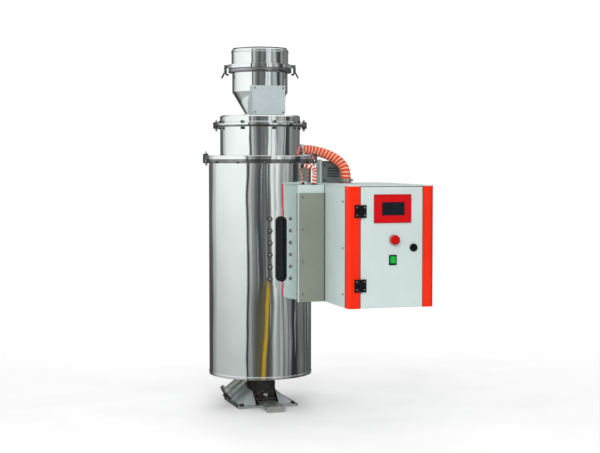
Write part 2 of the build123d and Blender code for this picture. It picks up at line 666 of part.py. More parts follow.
def door():
    face = CAB_Y[0]
    back = face + DOOR_DEPTH
    (x0, x1), (z0, z1) = DOOR_X, DOOR_Z
    pan = block(DOOR_X, (face, back), DOOR_Z)
    pan -= block((x0 + WALL, x1 - WALL), (face + WALL, back - WALL), (z0 + WALL, z1 - WALL))
    pan -= block((x0 + 14, x1 - 14), (face + WALL, back + 1), (z0 + 14, z1 - 14))
    pan -= block((HMI_X[0] + 9, HMI_X[1] - 9), (face - 1, face + 5), (HMI_Z[0] + 9, HMI_Z[1] - 9))
    pan -= rod_y(STOP_STEM_R + 2.5, STOP[0], STOP[1], face - 1, face + 5)
    pan -= rod_y(12, LOCK[0], LOCK[1], face - 1, face + 5)
    rx, rz = ROCKER
    pan -= block((rx - 13, rx + 13), (face - 1, face + 5), (rz - 17, rz + 17))
    parts["door_panel"] = pan

    seal = block((x0 + 2, x1 - 2), (back, FRAME_Y - 0.4), (z0 + 2, z1 - 2))
    seal -= block((x0 + 13, x1 - 13), (back - 1, FRAME_Y), (z0 + 13, z1 - 13))
    parts["door_gasket"] = seal

    bezel = block(HMI_X, (face - 5, face), HMI_Z)
    bezel = fillet(bezel.edges().filter_by(Axis.Y), 3)
    bezel -= block(SCREEN_X, (face - 6, face + 1), SCREEN_Z)
    parts["hmi_bezel"] = bezel
    screen = block(SCREEN_X, (face - 3.5, face), SCREEN_Z)
    screen += block((HMI_X[0] + 9, HMI_X[1] - 9), (face, face + 38), (HMI_Z[0] + 9, HMI_Z[1] - 9))
    parts["hmi_screen"] = screen

    sx, sz = STOP
    collar = rod_y(15, sx, sz, face - 4, face) + rod_y(STOP_STEM_R + 2.4, sx, sz, face, face + WALL)
    contact = block((sx - 20, sx + 20), (face + WALL, face + 40), (sz - 20, sz + 20))
    parts["stop_collar"] = collar + contact - rod_y(STOP_STEM_R + 0.4, sx, sz, face - 5, face + 35)
    stem = rod_y(STOP_STEM_R, sx, sz, face - 11, face + 28)
    parts["stop_stem"] = stem + rod_y(5, sx, sz, face - 19, face - 11)
    head = rod_y(STOP_R, sx, sz, face - 25, face - 11.4)
    head = fillet(head.faces().sort_by(Axis.Y)[0].edges(), 7)
    parts["stop_head"] = head - rod_y(5 + RUN, sx, sz, face - 19.5, face)

    frame = block((rx - 16, rx + 16), (face - 3, face), (rz - 20.5, rz + 20.5))
    frame += block((rx - 13, rx + 13), (face - 1, face + 24), (rz - 17, rz + 17))
    frame -= block((rx - 11.5, rx + 11.5), (face - 6, face + 14), (rz - 15.5, rz + 15.5))
    parts["rocker_frame"] = frame
    key = block((rx - 11, rx + 11), (face - 6, face + 4), (rz - 14, rz + 14))
    key = fillet(key.edges().filter_by(Axis.X), 2)
    parts["rocker_key"] = Pos(rx, face + 2, rz) * Rot(-7, 0, 0) * Pos(-rx, -face - 2, -rz) * key

    lx, lz = LOCK
    body = rod_y(16, lx, lz, face - 6, face) + rod_y(12, lx, lz, face - 1, face + 8)
    body += rod_y(15, lx, lz, face + 2, face + 8)
    parts["lock_body"] = body - rod_y(LOCK_R + RUN, lx, lz, face - 8, face + 20)
    barrel = rod_y(LOCK_R, lx, lz, face - 7, face + 13)
    barrel -= block((lx - 1, lx + 1), (face - 8, face - 3), (lz - 6, lz + 6))
    cam = block((lx - 8, lx + 18), (face + 10, face + 13), (lz - 8, lz + 8))
    parts["lock_barrel"] = barrel + cam


# ---------------------------------------------------------------- machinery


def machinery():
    x, z = FAN
    y0, y1 = FAN_Y
    floor = CAB_Z[0] + WALL
    case = rod_y(FAN_R, x, z, y0, y1) - rod_y(FAN_R - 3, x, z, y0 + 3, y1 - 3)
    case -= rod_y(EYE_R, x, z, y0 - 1, y0 + 5)
    case -= rod_y(12, x, z, y1 - 5, y1 + 1)
    feet = block((x - 60, x + 60), (y0 + 5, y1 - 5), (floor, z - 60)) - rod_y(FAN_R - 1, x, z, y0, y1)
    parts["blower_case"] = case + feet
    hub = rod_y(WHEEL_R, x, z, y1 - 14, y1 - 10) + rod_y(8, x, z, y1 - 30, MOTOR_Y[0] + 40)
    wheel = hub + rod_y(WHEEL_R, x, z, y0 + 12, y0 + 14) - rod_y(EYE_R + 6, x, z, y0 + 10, y0 + 16)
    blade = block((WHEEL_R - 20, WHEEL_R), (y0 + 13, y1 - 11), (-1, 1))
    for i in range(BLADES):
        wheel += Pos(x, 0, z) * Rot(0, i * 360 / BLADES, 0) * blade
    parts["blower_wheel"] = wheel
    motor = rod_y(MOTOR_R, x, z, *MOTOR_Y) - rod_y(8 + RUN, x, z, MOTOR_Y[0] - 1, MOTOR_Y[0] + 44)
    foot = block((x - 45, x + 45), (MOTOR_Y[0] + 20, MOTOR_Y[1] - 20), (floor, z - 45))
    motor += foot - rod_y(MOTOR_R - 1, x, z, -260, -100)
    parts["blower_motor"] = motor

    inside = CAB_Y[1] - POST_T - WALL
    parts["controller"] = block(CONTROLLER[0], (inside - 70, inside), CONTROLLER[1])
    parts["contactors"] = group(
        [block((x0, x0 + 45), (inside - 75, inside), CONTACTOR_Z) for x0 in CONTACTOR_X]
    )


# ---------------------------------------------------------------- hoses


def hose(name, route, r):
    """A tube of straight runs joined by tangent arcs, each as large as its runs allow."""
    points = [Vector(*p) for p in route]
    radii = []
    for a, b, c in zip(points, points[1:], points[2:]):
        half = math.radians((b - a).get_angle(c - b)) / 2
        radii.append(0.45 * min((b - a).length, (c - b).length) / math.tan(half))
    path = FilletPolyline(*points, radius=radii)
    tube = sweep(Plane(origin=path @ 0, z_dir=path % 0) * Circle(r), path=path)
    share = tube.volume / (math.pi * r * r * path.length)
    print(name, "length", round(path.length, 1), "radii", [round(v, 1) for v in radii])
    print(name, "volume share", round(share, 4))
    parts[name] = tube


def hoses():
    hose("large_hose", LARGE_ROUTE, LARGE_R)
    hose("small_hose", SMALL_ROUTE, SMALL_R)
    px, py, pz = LARGE_ROUTE[-1]
    top = CAB_Z[1] + CAP_T
    upright = ring(LARGE_R - 1, LARGE_R - 3, CAB_Z[1] - 12, pz, px, py)
    upright += ring(LARGE_R + 8, LARGE_R - 3, top, top + 2, px, py)
    bore = rod_x(LARGE_R - 4, 0, NECK_PORT_Z, 150, 195)
    plate = rod_x(LARGE_R + 2, 0, NECK_PORT_Z, 165, 178) - bore
    level = rod_x(LARGE_R - 2, 0, NECK_PORT_Z, 160, 190) - bore
    level = (level + plate) - rod(NECK_R, 1000, 1200)
    spigot = rod_x(LARGE_R - 2, 0, NECK_PORT_Z, 160, 172) - bore
    spigot = spigot & rod(NECK_R, 1000, 1200)
    parts["large_ports"] = group([upright, Rot(0, 0, NECK_PORT_ANGLE) * (level + spigot)])

    px, py, pz = SMALL_ROUTE[-1]
    bracket_top = CAB_Z[1]
    collar = ring(SMALL_R + 5, SMALL_R + RUN, bracket_top, bracket_top + 2, px, py)
    upright = rod(SMALL_R, pz - 30, pz, px, py)
    upright += block((px - 7, px + 7), (BRACKET_Y[0] + WALL, py), (pz - 26, pz - 18))
    upright -= rod(SMALL_R - 3, pz - 40, pz + 1, px, py)
    z = SMALL_ROUTE[0][2]
    start = math.hypot(SMALL_ROUTE[0][0], SMALL_ROUTE[0][1])
    level = rod_x(SMALL_R, 0, z, 215, start) - rod_x(SMALL_R - 3, 0, z, 200, start + 5)
    level -= rod(HOPPER_R + 3, 900, 1100)
    parts["small_ports"] = group([collar, upright, Rot(0, 0, SMALL_PORT_ANGLE) * level])

    def band(outer, inner, width, place):
        return place * (Cylinder(outer, width) - Cylinder(inner, width + 2))

    x, y, z = LARGE_ROUTE[-1]
    bore = LARGE_R + RUN
    bands = [band(LARGE_R + 2, bore, 12, Pos(x, y, z + 9))]
    port = Rot(0, 0, NECK_PORT_ANGLE) * Pos(199, 0, NECK_PORT_Z) * Rot(0, 90, 0)
    bands.append(band(LARGE_R + 2, bore, 12, port))
    x, y, z = SMALL_ROUTE[-1]
    bands.append(band(SMALL_R + 1.5, SMALL_R + RUN, 9, Pos(x, y, z + 7)))
    parts["hose_clamps"] = group(bands)


base()
hopper()
neck()
loader()
bracket()
cabinet()
hinges()
door()
machinery()
hoses()

os.makedirs("parts", exist_ok=True)
for name, part in parts.items():
    export_step(part, f"parts/{name}.step")
print(len(parts), "parts")
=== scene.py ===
"""Looks of the hopper dryer on its CAD frame: materials, hoses, fittings, studio and camera.

The constants below and the shapes of Piece are in millimetres, in the CAD's frame; the rest is in metres.
"""
import json
import math
import random

import bmesh
import bpy
from mathutils import Matrix, Vector


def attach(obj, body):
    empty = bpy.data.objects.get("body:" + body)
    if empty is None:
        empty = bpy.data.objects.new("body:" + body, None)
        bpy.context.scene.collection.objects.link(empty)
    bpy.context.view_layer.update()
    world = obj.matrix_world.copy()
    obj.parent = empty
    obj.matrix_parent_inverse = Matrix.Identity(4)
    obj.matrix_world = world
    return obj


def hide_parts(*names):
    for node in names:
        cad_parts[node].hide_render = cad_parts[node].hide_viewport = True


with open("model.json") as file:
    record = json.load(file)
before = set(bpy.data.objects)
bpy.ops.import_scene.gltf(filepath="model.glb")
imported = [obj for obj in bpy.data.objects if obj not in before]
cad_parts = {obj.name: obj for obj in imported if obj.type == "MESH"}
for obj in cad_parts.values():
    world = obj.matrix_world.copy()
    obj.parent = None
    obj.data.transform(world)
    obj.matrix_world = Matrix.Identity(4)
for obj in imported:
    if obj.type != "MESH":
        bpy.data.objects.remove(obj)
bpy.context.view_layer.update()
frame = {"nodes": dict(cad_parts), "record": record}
NODES = frame["nodes"]
SLOT_OF = {part["node"]: part["material_slot"] for part in frame["record"]["subparts"]}
random.seed(7)
scene = bpy.context.scene
MM = 0.001

# Dimensions shared with the CAD, in millimetres
BOLT_AT = 112.0
PLATE_TOP = 10.0
FLARE_EDGES = ((118.5, 10.5), (53.0, 62.0))  # half width, height
HOUSING_FRONT = -60.0
HOPPER_R = 220.0
HOPPER_Z = (133.0, 1045.0)
COVER_R = 236.0
COVER_Z = (1054.0, 1070.0)
NECK_R = 171.0
NECK_FLANGE_R = 192.0
NECK_TOP = 1198.0
CLAMP_ANGLES = (-17.0, 43.0, 103.0, 163.0)
NECK_CLAMP_ANGLES = (-17.0, 73.0, 163.0)
BOLT_FROM = -130.0
FLANGE_BOLTS = 12
FLANGE_BOLT_R = 228.0
NECK_BOLTS = 8
NECK_BOLT_R = 182.0
LOADER_R = 118.5
LOADER_WALL_Z = (1340.0, 1424.0)
PLEATS = 48  # of the filter
LATCHES = {"latch_left": 163.0, "latch_right": -17.0}
LATCH_PIVOT = (147.0, 1450.0)
BOX_FRONT = -143.0
CAB_X = (228.0, 598.0)
CAB_TOP = 946.0
BRACKET_FRONT = -196.0
BRACKET_SCREWS_Z = (487, 625, 760, 895)
SIDE_SCREWS_Z = (506, 694, 883)
HINGE_Z = (545.0, 845.0)
DOOR_FACE = -508.0
STOP = (422, DOOR_FACE, 729)
LOCK = (506.5, DOOR_FACE, 696)
ROCKER = (417, DOOR_FACE - 2, 647)
TERMINALS = 14
SIGHT_ANGLE = 7.5
SIGHT_Z = 681.0
SIGHT_SCREWS = 6
SIGHT_SCREW_PITCH = 50.0
SIGHT_SCREW_REACH = 47.0
SPOUT_TILT = 38.0
SPOUT_END = (-150.0, 44.0)
LARGE_R = 22.0
SMALL_R = 9.0
LARGE_ROUTE = [
    (185.85, 39.50, 1095.0),
    (225.0, 47.82, 1095.0),
    (274.0, 46.0, 1088.0),
    (328.0, 33.0, 1070.0),
    (373.0, 13.0, 1038.0),
    (390.0, -2.0, 997.0),
    (390.0, -2.0, 953.0),
]
SMALL_ROUTE = [
    (147.84, -176.19, 1026.0),
    (155.17, -184.93, 1026.0),
    (178.0, -186.0, 1022.0),
    (191.5, -175.0, 1006.0),
    (193.3, -163.2, 982.0),
    (193.3, -163.2, 930.0),
]


# ---------------------------------------------------------------- materials


DUST = (0.42, 0.40, 0.37)


def node(tree, kind, **values):
    """A shader node with its sockets and properties set by name."""
    made = tree.nodes.new("ShaderNode" + kind)
    for key, value in values.items():
        if key in made.inputs:
            made.inputs[key].default_value = value
        else:
            setattr(made, key, value)
    return made


def noise(tree, coords, scale, detail=4.0, stretch=(1, 1, 1), rough=0.55):
    mapping = node(tree, "Mapping", Scale=stretch)
    tree.links.new(coords, mapping.inputs["Vector"])
    made = node(tree, "TexNoise", Scale=scale, Detail=detail, Roughness=rough)
    tree.links.new(mapping.outputs["Vector"], made.inputs["Vector"])
    return made.outputs["Fac"]


def calc(tree, operation, *values):
    """The result of a maths node; each value is a socket or a number."""
    made = node(tree, "Math", operation=operation)
    for place, value in enumerate(values):
        if isinstance(value, (int, float)):
            made.inputs[place].default_value = value
        else:
            tree.links.new(value, made.inputs[place])
    return made.outputs[0]


def remap(tree, value, low, high, to_low, to_high, steps="SMOOTHSTEP"):
    made = node(tree, "MapRange", interpolation_type=steps)
    tree.links.new(value, made.inputs["Value"])
    for name, number in zip(("From Min", "From Max", "To Min", "To Max"), (low, high, to_low, to_high)):
        made.inputs[name].default_value = number
    return made.outputs["Result"]


def mixed(tree, factor, first, second):
    """Mixes two colours; each is a socket or an RGB triple."""
    made = node(tree, "Mix", data_type="RGBA")
    tree.links.new(factor, made.inputs[0])
    for place, value in ((6, first), (7, second)):
        if isinstance(value, (tuple, list)):
            made.inputs[place].default_value = (*value[:3], 1)
        else:
            tree.links.new(value, made.inputs[place])
    return made.outputs[2]


def finish(
    name,
    colour,
    rough,
    metallic=0.0,
    spread=0.10,
    scale=14.0,
    rough_spread=0.06,
    grain=(900.0, 0.00006),
    stretch=(1, 1, 1),
    wave=None,
    chips=None,
    dust=0.0,
    edge=0.0007,
    sheen=0.0,
    shine=0.5,
):
    """A surface with uneven colour and gloss, a fine grain and softened edges.

    The wave bends reflections, chips show a second colour in spots, and dust lies on what faces up.
    """
    made = bpy.data.materials.new(name)
    made.use_nodes = True
    tree = made.node_tree
    shader = tree.nodes["Principled BSDF"]
    shader.inputs["Base Color"].default_value = (*colour, 1)
    shader.inputs["Roughness"].default_value = rough
    shader.inputs["Metallic"].default_value = metallic
    shader.inputs["Sheen Weight"].default_value = sheen
    shader.inputs["Specular IOR Level"].default_value = shine
    coords = node(tree, "TexCoord").outputs["Object"]
    broad = noise(tree, coords, scale, 5.0)
    dark = tuple(c * (1 - spread) for c in colour)
    light = tuple(min(1.0, c * (1 + spread * 0.7)) for c in colour)
    paint = mixed(tree, remap(tree, broad, 0.3, 0.7, 0, 1), dark, light)
    smear = noise(tree, coords, scale * 2.3, 6.0, (1, 1, 0.35))
    gloss = remap(tree, smear, 0.3, 0.75, max(0.01, rough - rough_spread), rough + rough_spread)
    height = noise(tree, coords, grain[0], 3.0, stretch)
    bump = node(tree, "Bump", Strength=0.6, Distance=grain[1])
    tree.links.new(height, bump.inputs["Height"])
    normal = bump
    if edge:
        bevel = node(tree, "Bevel", Radius=edge, samples=4)
        tree.links.new(bevel.outputs["Normal"], normal.inputs["Normal"])
    if wave:
        swell = node(tree, "Bump", Strength=1.0, Distance=wave[1])
        tree.links.new(noise(tree, coords, wave[0], 1.5, (1, 1, 0.4)), swell.inputs["Height"])
        tree.links.new(bump.outputs["Normal"], swell.inputs["Normal"])
        normal = swell
    if chips:
        mask = remap(tree, noise(tree, coords, chips[0], 8.0, rough=0.7), chips[1], chips[1] + 0.03, 0, 1)
        paint = mixed(tree, mask, paint, chips[2])
    if dust:
        split = node(tree, "SeparateXYZ")
        tree.links.new(node(tree, "NewGeometry").outputs["Normal"], split.inputs["Vector"])
        up = remap(tree, split.outputs["Z"], 0.2, 1.0, 0, dust)
        patchy = calc(tree, "MULTIPLY", up, remap(tree, smear, 0.3, 0.6, 0.2, 1))
        paint = mixed(tree, patchy, paint, DUST)
    tree.links.new(paint, shader.inputs["Base Color"])
    tree.links.new(gloss, shader.inputs["Roughness"])
    tree.links.new(normal.outputs["Normal"], shader.inputs["Normal"])
    return made


# grain: how many to the metre, and their depth in metres
FINE = (1500.0, 0.00002)
PEEL = (420.0, 0.00010)
BRUSHED = (260.0, 0.00003)
# one surface for every material slot of the CAD
SURFACES = {
    "mirror_steel": dict(
        colour=(0.79, 0.84, 0.83), rough=0.045, metallic=1.0, spread=0.03, scale=6.0, rough_spread=0.03,
        grain=FINE, stretch=(1, 1, 0.1), wave=(4.0, 0.0065), edge=0.0006,
    ),
    "satin_steel": dict(
        colour=(0.60, 0.63, 0.63), rough=0.20, metallic=1.0, scale=10.0, rough_spread=0.09, grain=BRUSHED,
        stretch=(1, 1, 9), dust=0.10,
    ),
    "flare_grey": dict(
        colour=(0.50, 0.58, 0.61), rough=0.46, metallic=0.35, spread=0.14, scale=16.0, rough_spread=0.10,
        grain=PEEL, dust=0.30,
    ),
    "clamp_steel": dict(
        colour=(0.34, 0.35, 0.36), rough=0.25, metallic=1.0, spread=0.22, scale=40.0, rough_spread=0.10,
        grain=(500.0, 0.00005),
    ),
    "gate_black": dict(
        colour=(0.026, 0.025, 0.023), rough=0.40, metallic=0.1, spread=0.5, scale=22.0, rough_spread=0.15,
        grain=(260.0, 0.0007), chips=(60.0, 0.60, (0.24, 0.20, 0.16)), dust=0.45, edge=0.0012, shine=0.4,
    ),
    "wool": dict(
        colour=(0.72, 0.62, 0.40), rough=0.95, spread=0.3, scale=60.0, rough_spread=0.04,
        grain=(420.0, 0.0016), sheen=0.3,
    ),
    "seal_black": dict(
        colour=(0.012, 0.012, 0.013), rough=0.55, spread=0.3, scale=50.0, rough_spread=0.12,
        grain=(700.0, 0.00012), dust=0.04, shine=0.2,
    ),
    "sight_glass": dict(
        colour=(0.006, 0.012, 0.014), rough=0.10, spread=0.3, scale=12.0, rough_spread=0.04, grain=FINE,
        edge=0, shine=0.35,
    ),
    "filter_white": dict(
        colour=(0.80, 0.79, 0.74), rough=0.9, spread=0.12, scale=30.0, rough_spread=0.05,
        grain=(600.0, 0.0008), sheen=0.4,
    ),
    "cabinet_grey": dict(
        colour=(0.60, 0.70, 0.685), rough=0.44, spread=0.035, scale=5.0, grain=PEEL, dust=0.06, edge=0.001,
        shine=0.35,
    ),
    # darker than the cabinet's grey: painted shade, as the bracket cover lies in the shaded corner beside the
    # hopper
    "bracket_grey": dict(
        colour=(0.245, 0.27, 0.224), rough=0.46, spread=0.06, scale=6.0, rough_spread=0.07, grain=PEEL,
        dust=0.08, edge=0.001, shine=0.3,
    ),
    "post_red": dict(
        colour=(0.90, 0.022, 0.001), rough=0.36, spread=0.06, scale=7.0, rough_spread=0.05, grain=PEEL,
        dust=0.02, edge=0.001, shine=0.25,
    ),
    "hinge_black": dict(
        colour=(0.006, 0.007, 0.008), rough=0.42, spread=0.25, scale=50.0, rough_spread=0.10,
        grain=(800.0, 0.00010), shine=0.14,
    ),
    "hmi_red": dict(
        colour=(0.60, 0.004, 0.007), rough=0.42, spread=0.05, scale=20.0, rough_spread=0.05,
        grain=(700.0, 0.00005), shine=0.15,
    ),
    "hmi_glass": dict(
        colour=(0.003, 0.008, 0.014), rough=0.14, spread=0.3, scale=18.0, rough_spread=0.04, grain=FINE,
        edge=0, shine=0.16,
    ),
    "stop_red": dict(
        colour=(0.58, 0.002, 0.001), rough=0.34, spread=0.06, scale=30.0, grain=(900.0, 0.00004),
        edge=0.001, shine=0.14,
    ),
    "stem_grey": dict(
        colour=(0.32, 0.33, 0.34), rough=0.38, metallic=0.1, spread=0.12, scale=60.0, rough_spread=0.08,
    ),
    "rocker_green": dict(
        colour=(0.001, 0.45, 0.035), rough=0.25, spread=0.08, scale=60.0, rough_spread=0.05, shine=0.25,
    ),
    "hose_orange": dict(
        colour=(0.80, 0.075, 0.012), rough=0.38, spread=0.12, scale=40.0, rough_spread=0.08,
        grain=(800.0, 0.00010), edge=0, shine=0.35,
    ),
    "box_grey": dict(
        colour=(0.125, 0.155, 0.155), rough=0.42, spread=0.12, scale=9.0, rough_spread=0.08, grain=PEEL,
        dust=0.25, edge=0.001,
    ),
    "blower_grey": dict(
        colour=(0.28, 0.30, 0.31), rough=0.42, metallic=0.3, spread=0.12, scale=18.0, rough_spread=0.08,
        grain=PEEL, dust=0.3,
    ),
    "control_plastic": dict(
        colour=(0.60, 0.61, 0.58), rough=0.5, spread=0.06, scale=30.0, grain=(800.0, 0.0001),
    ),
}
WIRE = dict(rough=0.45, scale=80.0, rough_spread=0.1, edge=0)
# surfaces of details, and of nodes that differ from their slot's own
DETAIL_SURFACES = {
    # the large hose's pale valley band: partly its lighter helix wire, partly a painted highlight on the ribs
    "hose_wire_and_highlight": dict(
        colour=(0.86, 0.50, 0.40), rough=0.40, scale=60.0, rough_spread=0.08, grain=(800.0, 0.0001), edge=0,
    ),
    "hose_white": dict(
        colour=(0.86, 0.80, 0.74), rough=0.42, spread=0.08, scale=60.0, rough_spread=0.08,
        grain=(800.0, 0.0001), edge=0,
    ),
    "weld": dict(
        colour=(0.46, 0.45, 0.43), rough=0.34, metallic=1.0, spread=0.35, scale=120.0, rough_spread=0.12,
        grain=(500.0, 0.0003),
    ),
    "tongue": dict(
        colour=(0.50, 0.53, 0.51), rough=0.30, metallic=0.80, spread=0.2, scale=18.0, rough_spread=0.12,
        grain=BRUSHED, stretch=(9, 1, 1), dust=0.2,
    ),
    "flange": dict(
        colour=(0.80, 0.84, 0.83), rough=0.09, metallic=1.0, spread=0.06, scale=9.0, grain=(40.0, 0.0005),
        stretch=(1, 1, 0.4),
    ),
    "loader_grey": dict(
        colour=(0.47, 0.54, 0.56), rough=0.40, spread=0.05, scale=7.0, rough_spread=0.07, grain=PEEL,
        dust=0.10, edge=0.001, shine=0.35,
    ),
    "zinc": dict(
        colour=(0.60, 0.61, 0.61), rough=0.26, metallic=1.0, spread=0.12, scale=60.0, rough_spread=0.08,
    ),
    "black_oxide": dict(
        colour=(0.045, 0.045, 0.047), rough=0.36, metallic=0.8, spread=0.3, scale=70.0, rough_spread=0.12,
    ),
    # near-black crosses and sockets of the screws: painted shade in their recesses
    "recess_shade": dict(
        colour=(0.03, 0.03, 0.032), rough=0.6, metallic=0.5, spread=0.3, scale=90.0, rough_spread=0.1,
        edge=0,
    ),
    "stop_dark": dict(colour=(0.30, 0.003, 0.002), rough=0.35, spread=0.08, scale=40.0, edge=0, shine=0.3),
    "paint_mark": dict(colour=(0.55, 0.05, 0.01), rough=0.5, spread=0.3, scale=60.0, rough_spread=0.08),
    "dark_steel": dict(
        colour=(0.12, 0.125, 0.12), rough=0.34, metallic=0.8, spread=0.4, scale=30.0, rough_spread=0.15,
        grain=BRUSHED, dust=0.25,
    ),
    "rim_steel": dict(
        colour=(0.27, 0.28, 0.28), rough=0.20, metallic=1.0, spread=0.35, rough_spread=0.12,
        grain=(60.0, 0.0005),
    ),
    "spout_steel": dict(
        colour=(0.56, 0.60, 0.56), rough=0.19, metallic=0.9, spread=0.16, scale=20.0, rough_spread=0.10,
        grain=BRUSHED, stretch=(1, 1, 9), dust=0.1,
    ),
    "wire_black": dict(colour=(0.02, 0.02, 0.022), spread=0.25, **WIRE),
    "wire_blue": dict(colour=(0.02, 0.10, 0.42), spread=0.15, **WIRE),
    "wire_brown": dict(colour=(0.16, 0.06, 0.025), spread=0.2, **WIRE),
    "wire_earth": dict(colour=(0.30, 0.48, 0.04), spread=0.2, **WIRE),
}
NODE_SURFACES = {
    "main_flange": "rim_steel",
    "hopper_cover": "flange",
    "flange_bolts": "rim_steel",
    "slide_gate": "tongue",
    "drain_cap": "dark_steel",
    "drain_spout": "spout_steel",
    "hose_clamps": "zinc",
    "loader_box": "loader_grey",
    "loader_box_cover": "loader_grey",
}
LOOKS = {name: finish(name, **values) for name, values in (SURFACES | DETAIL_SURFACES).items()}
for name, obj in NODES.items():
    obj.data.materials.clear()
    obj.data.materials.append(LOOKS[SLOT_OF[name]])
for name, look in NODE_SURFACES.items():
    NODES[name].data.materials[0] = LOOKS[look]


# ---------------------------------------------------------------- shapes


FRONT, BACK, RIGHT, LEFT = (0, -1, 0), (0, 1, 0), (1, 0, 0), (-1, 0, 0)
UPSIDE_DOWN = Matrix.Rotation(math.pi, 4, "X")


def spin(degrees):
    return Matrix.Rotation(math.radians(degrees), 4, "Z")


def shift(x, y, z):
    return Matrix.Translation((x, y, z))


def toward(axis):
    """Turns local +Z to the axis."""
    return Vector((0, 0, 1)).rotation_difference(Vector(axis)).to_matrix().to_4x4()


def facing(x, y, z, axis=FRONT):
    """The place of something that stands at a point and points along the axis."""
    return shift(x, y, z) @ toward(axis)


def crossings(points, closed=False):
    """Each point of a line with two directions across it, turned as little as possible on the way."""
    count = len(points)
    side = None
    out = []
    for i, p in enumerate(points):
        before = points[(i - 1) % count] if closed or i else p
        after = points[(i + 1) % count] if closed or i < count - 1 else p
        run = (after - before).normalized()
        if side is None:
            side = run.orthogonal().normalized()
        side = (side - run * side.dot(run)).normalized()
        out.append((p, side, run.cross(side)))
    return out


def soften(obj, width, sharper_than):
    """Bevels the edges that are sharper than an angle in degrees."""
    bevel = obj.modifiers.new("edges", "BEVEL")
    bevel.width = width
    bevel.segments = 2
    bevel.limit_method = "ANGLE"
    bevel.angle_limit = math.radians(sharper_than)


class Piece:
    """One mesh made up of simple shapes, in millimetres."""

    def __init__(self):
        self.bm = bmesh.new()

    def _keep(self, made, place):
        bmesh.ops.transform(self.bm, matrix=place, verts=made["verts"])

    def box(self, x, y, z, place=Matrix()):
        size = Matrix.Diagonal((x[1] - x[0], y[1] - y[0], z[1] - z[0], 1))
        middle = shift((x[0] + x[1]) / 2, (y[0] + y[1]) / 2, (z[0] + z[1]) / 2)
        self._keep(bmesh.ops.create_cube(self.bm, size=1.0), place @ middle @ size)

    def prism(self, sides, r, depth, place, top=None):
        """A prism or cone standing on local Z 0."""
        made = bmesh.ops.create_cone(
            self.bm, cap_ends=True, segments=sides, radius1=r, radius2=r if top is None else top, depth=depth
        )
        self._keep(made, place @ shift(0, 0, depth / 2))

    def lathe(self, points, place=Matrix(), sides=96, closed=True):
        """Turns (radius, height) points about local Z."""
        rows = []
        for i in range(sides):
            a = 2 * math.pi * i / sides
            row = [Vector((r * math.cos(a), r * math.sin(a), z)) for r, z in points]
            rows.append([self.bm.verts.new(place @ v) for v in row])
        count = len(points)
        steps = count if closed else count - 1
        for i in range(sides):
            here, after = rows[i], rows[(i + 1) % sides]
            for k in range(steps):
                m = (k + 1) % count
                self.bm.faces.new((here[k], after[k], after[m], here[m]))

    def tube(self, points, r, sides=10, closed=False):
        """A round bar along points; r is a number or one radius per point."""
        points = [Vector(p) for p in points]
        count = len(points)
        radii = r if isinstance(r, (list, tuple)) else [r] * count
        rings = []
        for radius, (p, side, other) in zip(radii, crossings(points, closed)):
            ring = []
            for k in range(sides):
                a = 2 * math.pi * k / sides
                ring.append(self.bm.verts.new(p + radius * (side * math.cos(a) + other * math.sin(a))))
            rings.append(ring)
        for i in range(count if closed else count - 1):
            here, after = rings[i], rings[(i + 1) % count]
            for k in range(sides):
                m = (k + 1) % sides
                self.bm.faces.new((here[k], here[m], after[m], after[k]))
        if not closed:
            self.bm.faces.new(list(reversed(rings[0])))
            self.bm.faces.new(rings[-1])

    def bead(self, points, r, closed=False):
        """A weld bead: a bar whose thickness ripples along its run."""
        radii = [r * (1 + 0.14 * math.sin(i * 2.1) + random.uniform(-0.06, 0.06)) for i in range(len(points))]
        self.tube(points, radii, 8, closed)

    def done(self, name, slot, body="root", look=None, smooth=30.0, edge=0.0):
        """Makes the object, with its slot's surface unless a look is named.

        Edges sharper than smooth degrees stay sharp, and edge is a bevel in metres.
        """
        bmesh.ops.scale(self.bm, vec=(MM, MM, MM), verts=self.bm.verts)
        bmesh.ops.recalc_face_normals(self.bm, faces=self.bm.faces)
        mesh = bpy.data.meshes.new(name)
        self.bm.to_mesh(mesh)
        self.bm.free()
        obj = bpy.data.objects.new(name, mesh)
        scene.collection.objects.link(obj)
        mesh.materials.append(LOOKS[look or slot])
        mesh.polygons.foreach_set("use_smooth", [True] * len(mesh.polygons))
        mesh.set_sharp_from_angle(angle=math.radians(smooth))
        if edge:
            soften(obj, edge, 40)
        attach(obj, body)
        return obj


def circle(r, z, count=180):
    """Points round Z, without the repeated last one."""
    angles = [math.radians(360 * i / count) for i in range(count)]
    return [(r * math.cos(a), r * math.sin(a), z) for a in angles]


def line(a, b, step=3.0):
    a, b = Vector(a), Vector(b)
    count = max(2, int((b - a).length / step))
    return [a.lerp(b, i / count) for i in range(count + 1)]


def bulge(inner, shoulder, peak, z, foot, half):
    """The outline of a ring that swells outward round a height, for lathe."""
    return [(inner, z - foot), (shoulder, z - half), (peak, z), (shoulder, z + half), (inner, z + foot)]


def hex_bolt(piece, place, across, height):
    """A hexagon head or nut with a chamfered top and a washer, standing on local Z 0."""
    piece.prism(32, across * 0.68, 1.6, place)
    piece.prism(6, across * 0.577, height * 0.8, place @ shift(0, 0, 1.6))
    piece.prism(6, across * 0.577, height * 0.2, place @ shift(0, 0, 1.6 + height * 0.8), across * 0.49)


# ---------------------------------------------------------------- hoses


def route_line(name, route):
    """The route as a smooth line of points in metres."""
    curve = bpy.data.curves.new(name, "CURVE")
    curve.dimensions = "3D"
    curve.resolution_u = 40
    spline = curve.splines.new("NURBS")
    spline.points.add(len(route) - 1)
    for point, at in zip(spline.points, route):
        point.co = (*[v * MM for v in at], 1)
    spline.order_u = 3
    spline.use_endpoint_u = True
    obj = bpy.data.objects.new(name, curve)
    mesh = bpy.data.meshes.new_from_object(obj)
    points = [v.co.copy() for v in mesh.vertices]
    bpy.data.objects.remove(obj)
    bpy.data.meshes.remove(mesh)
    return points


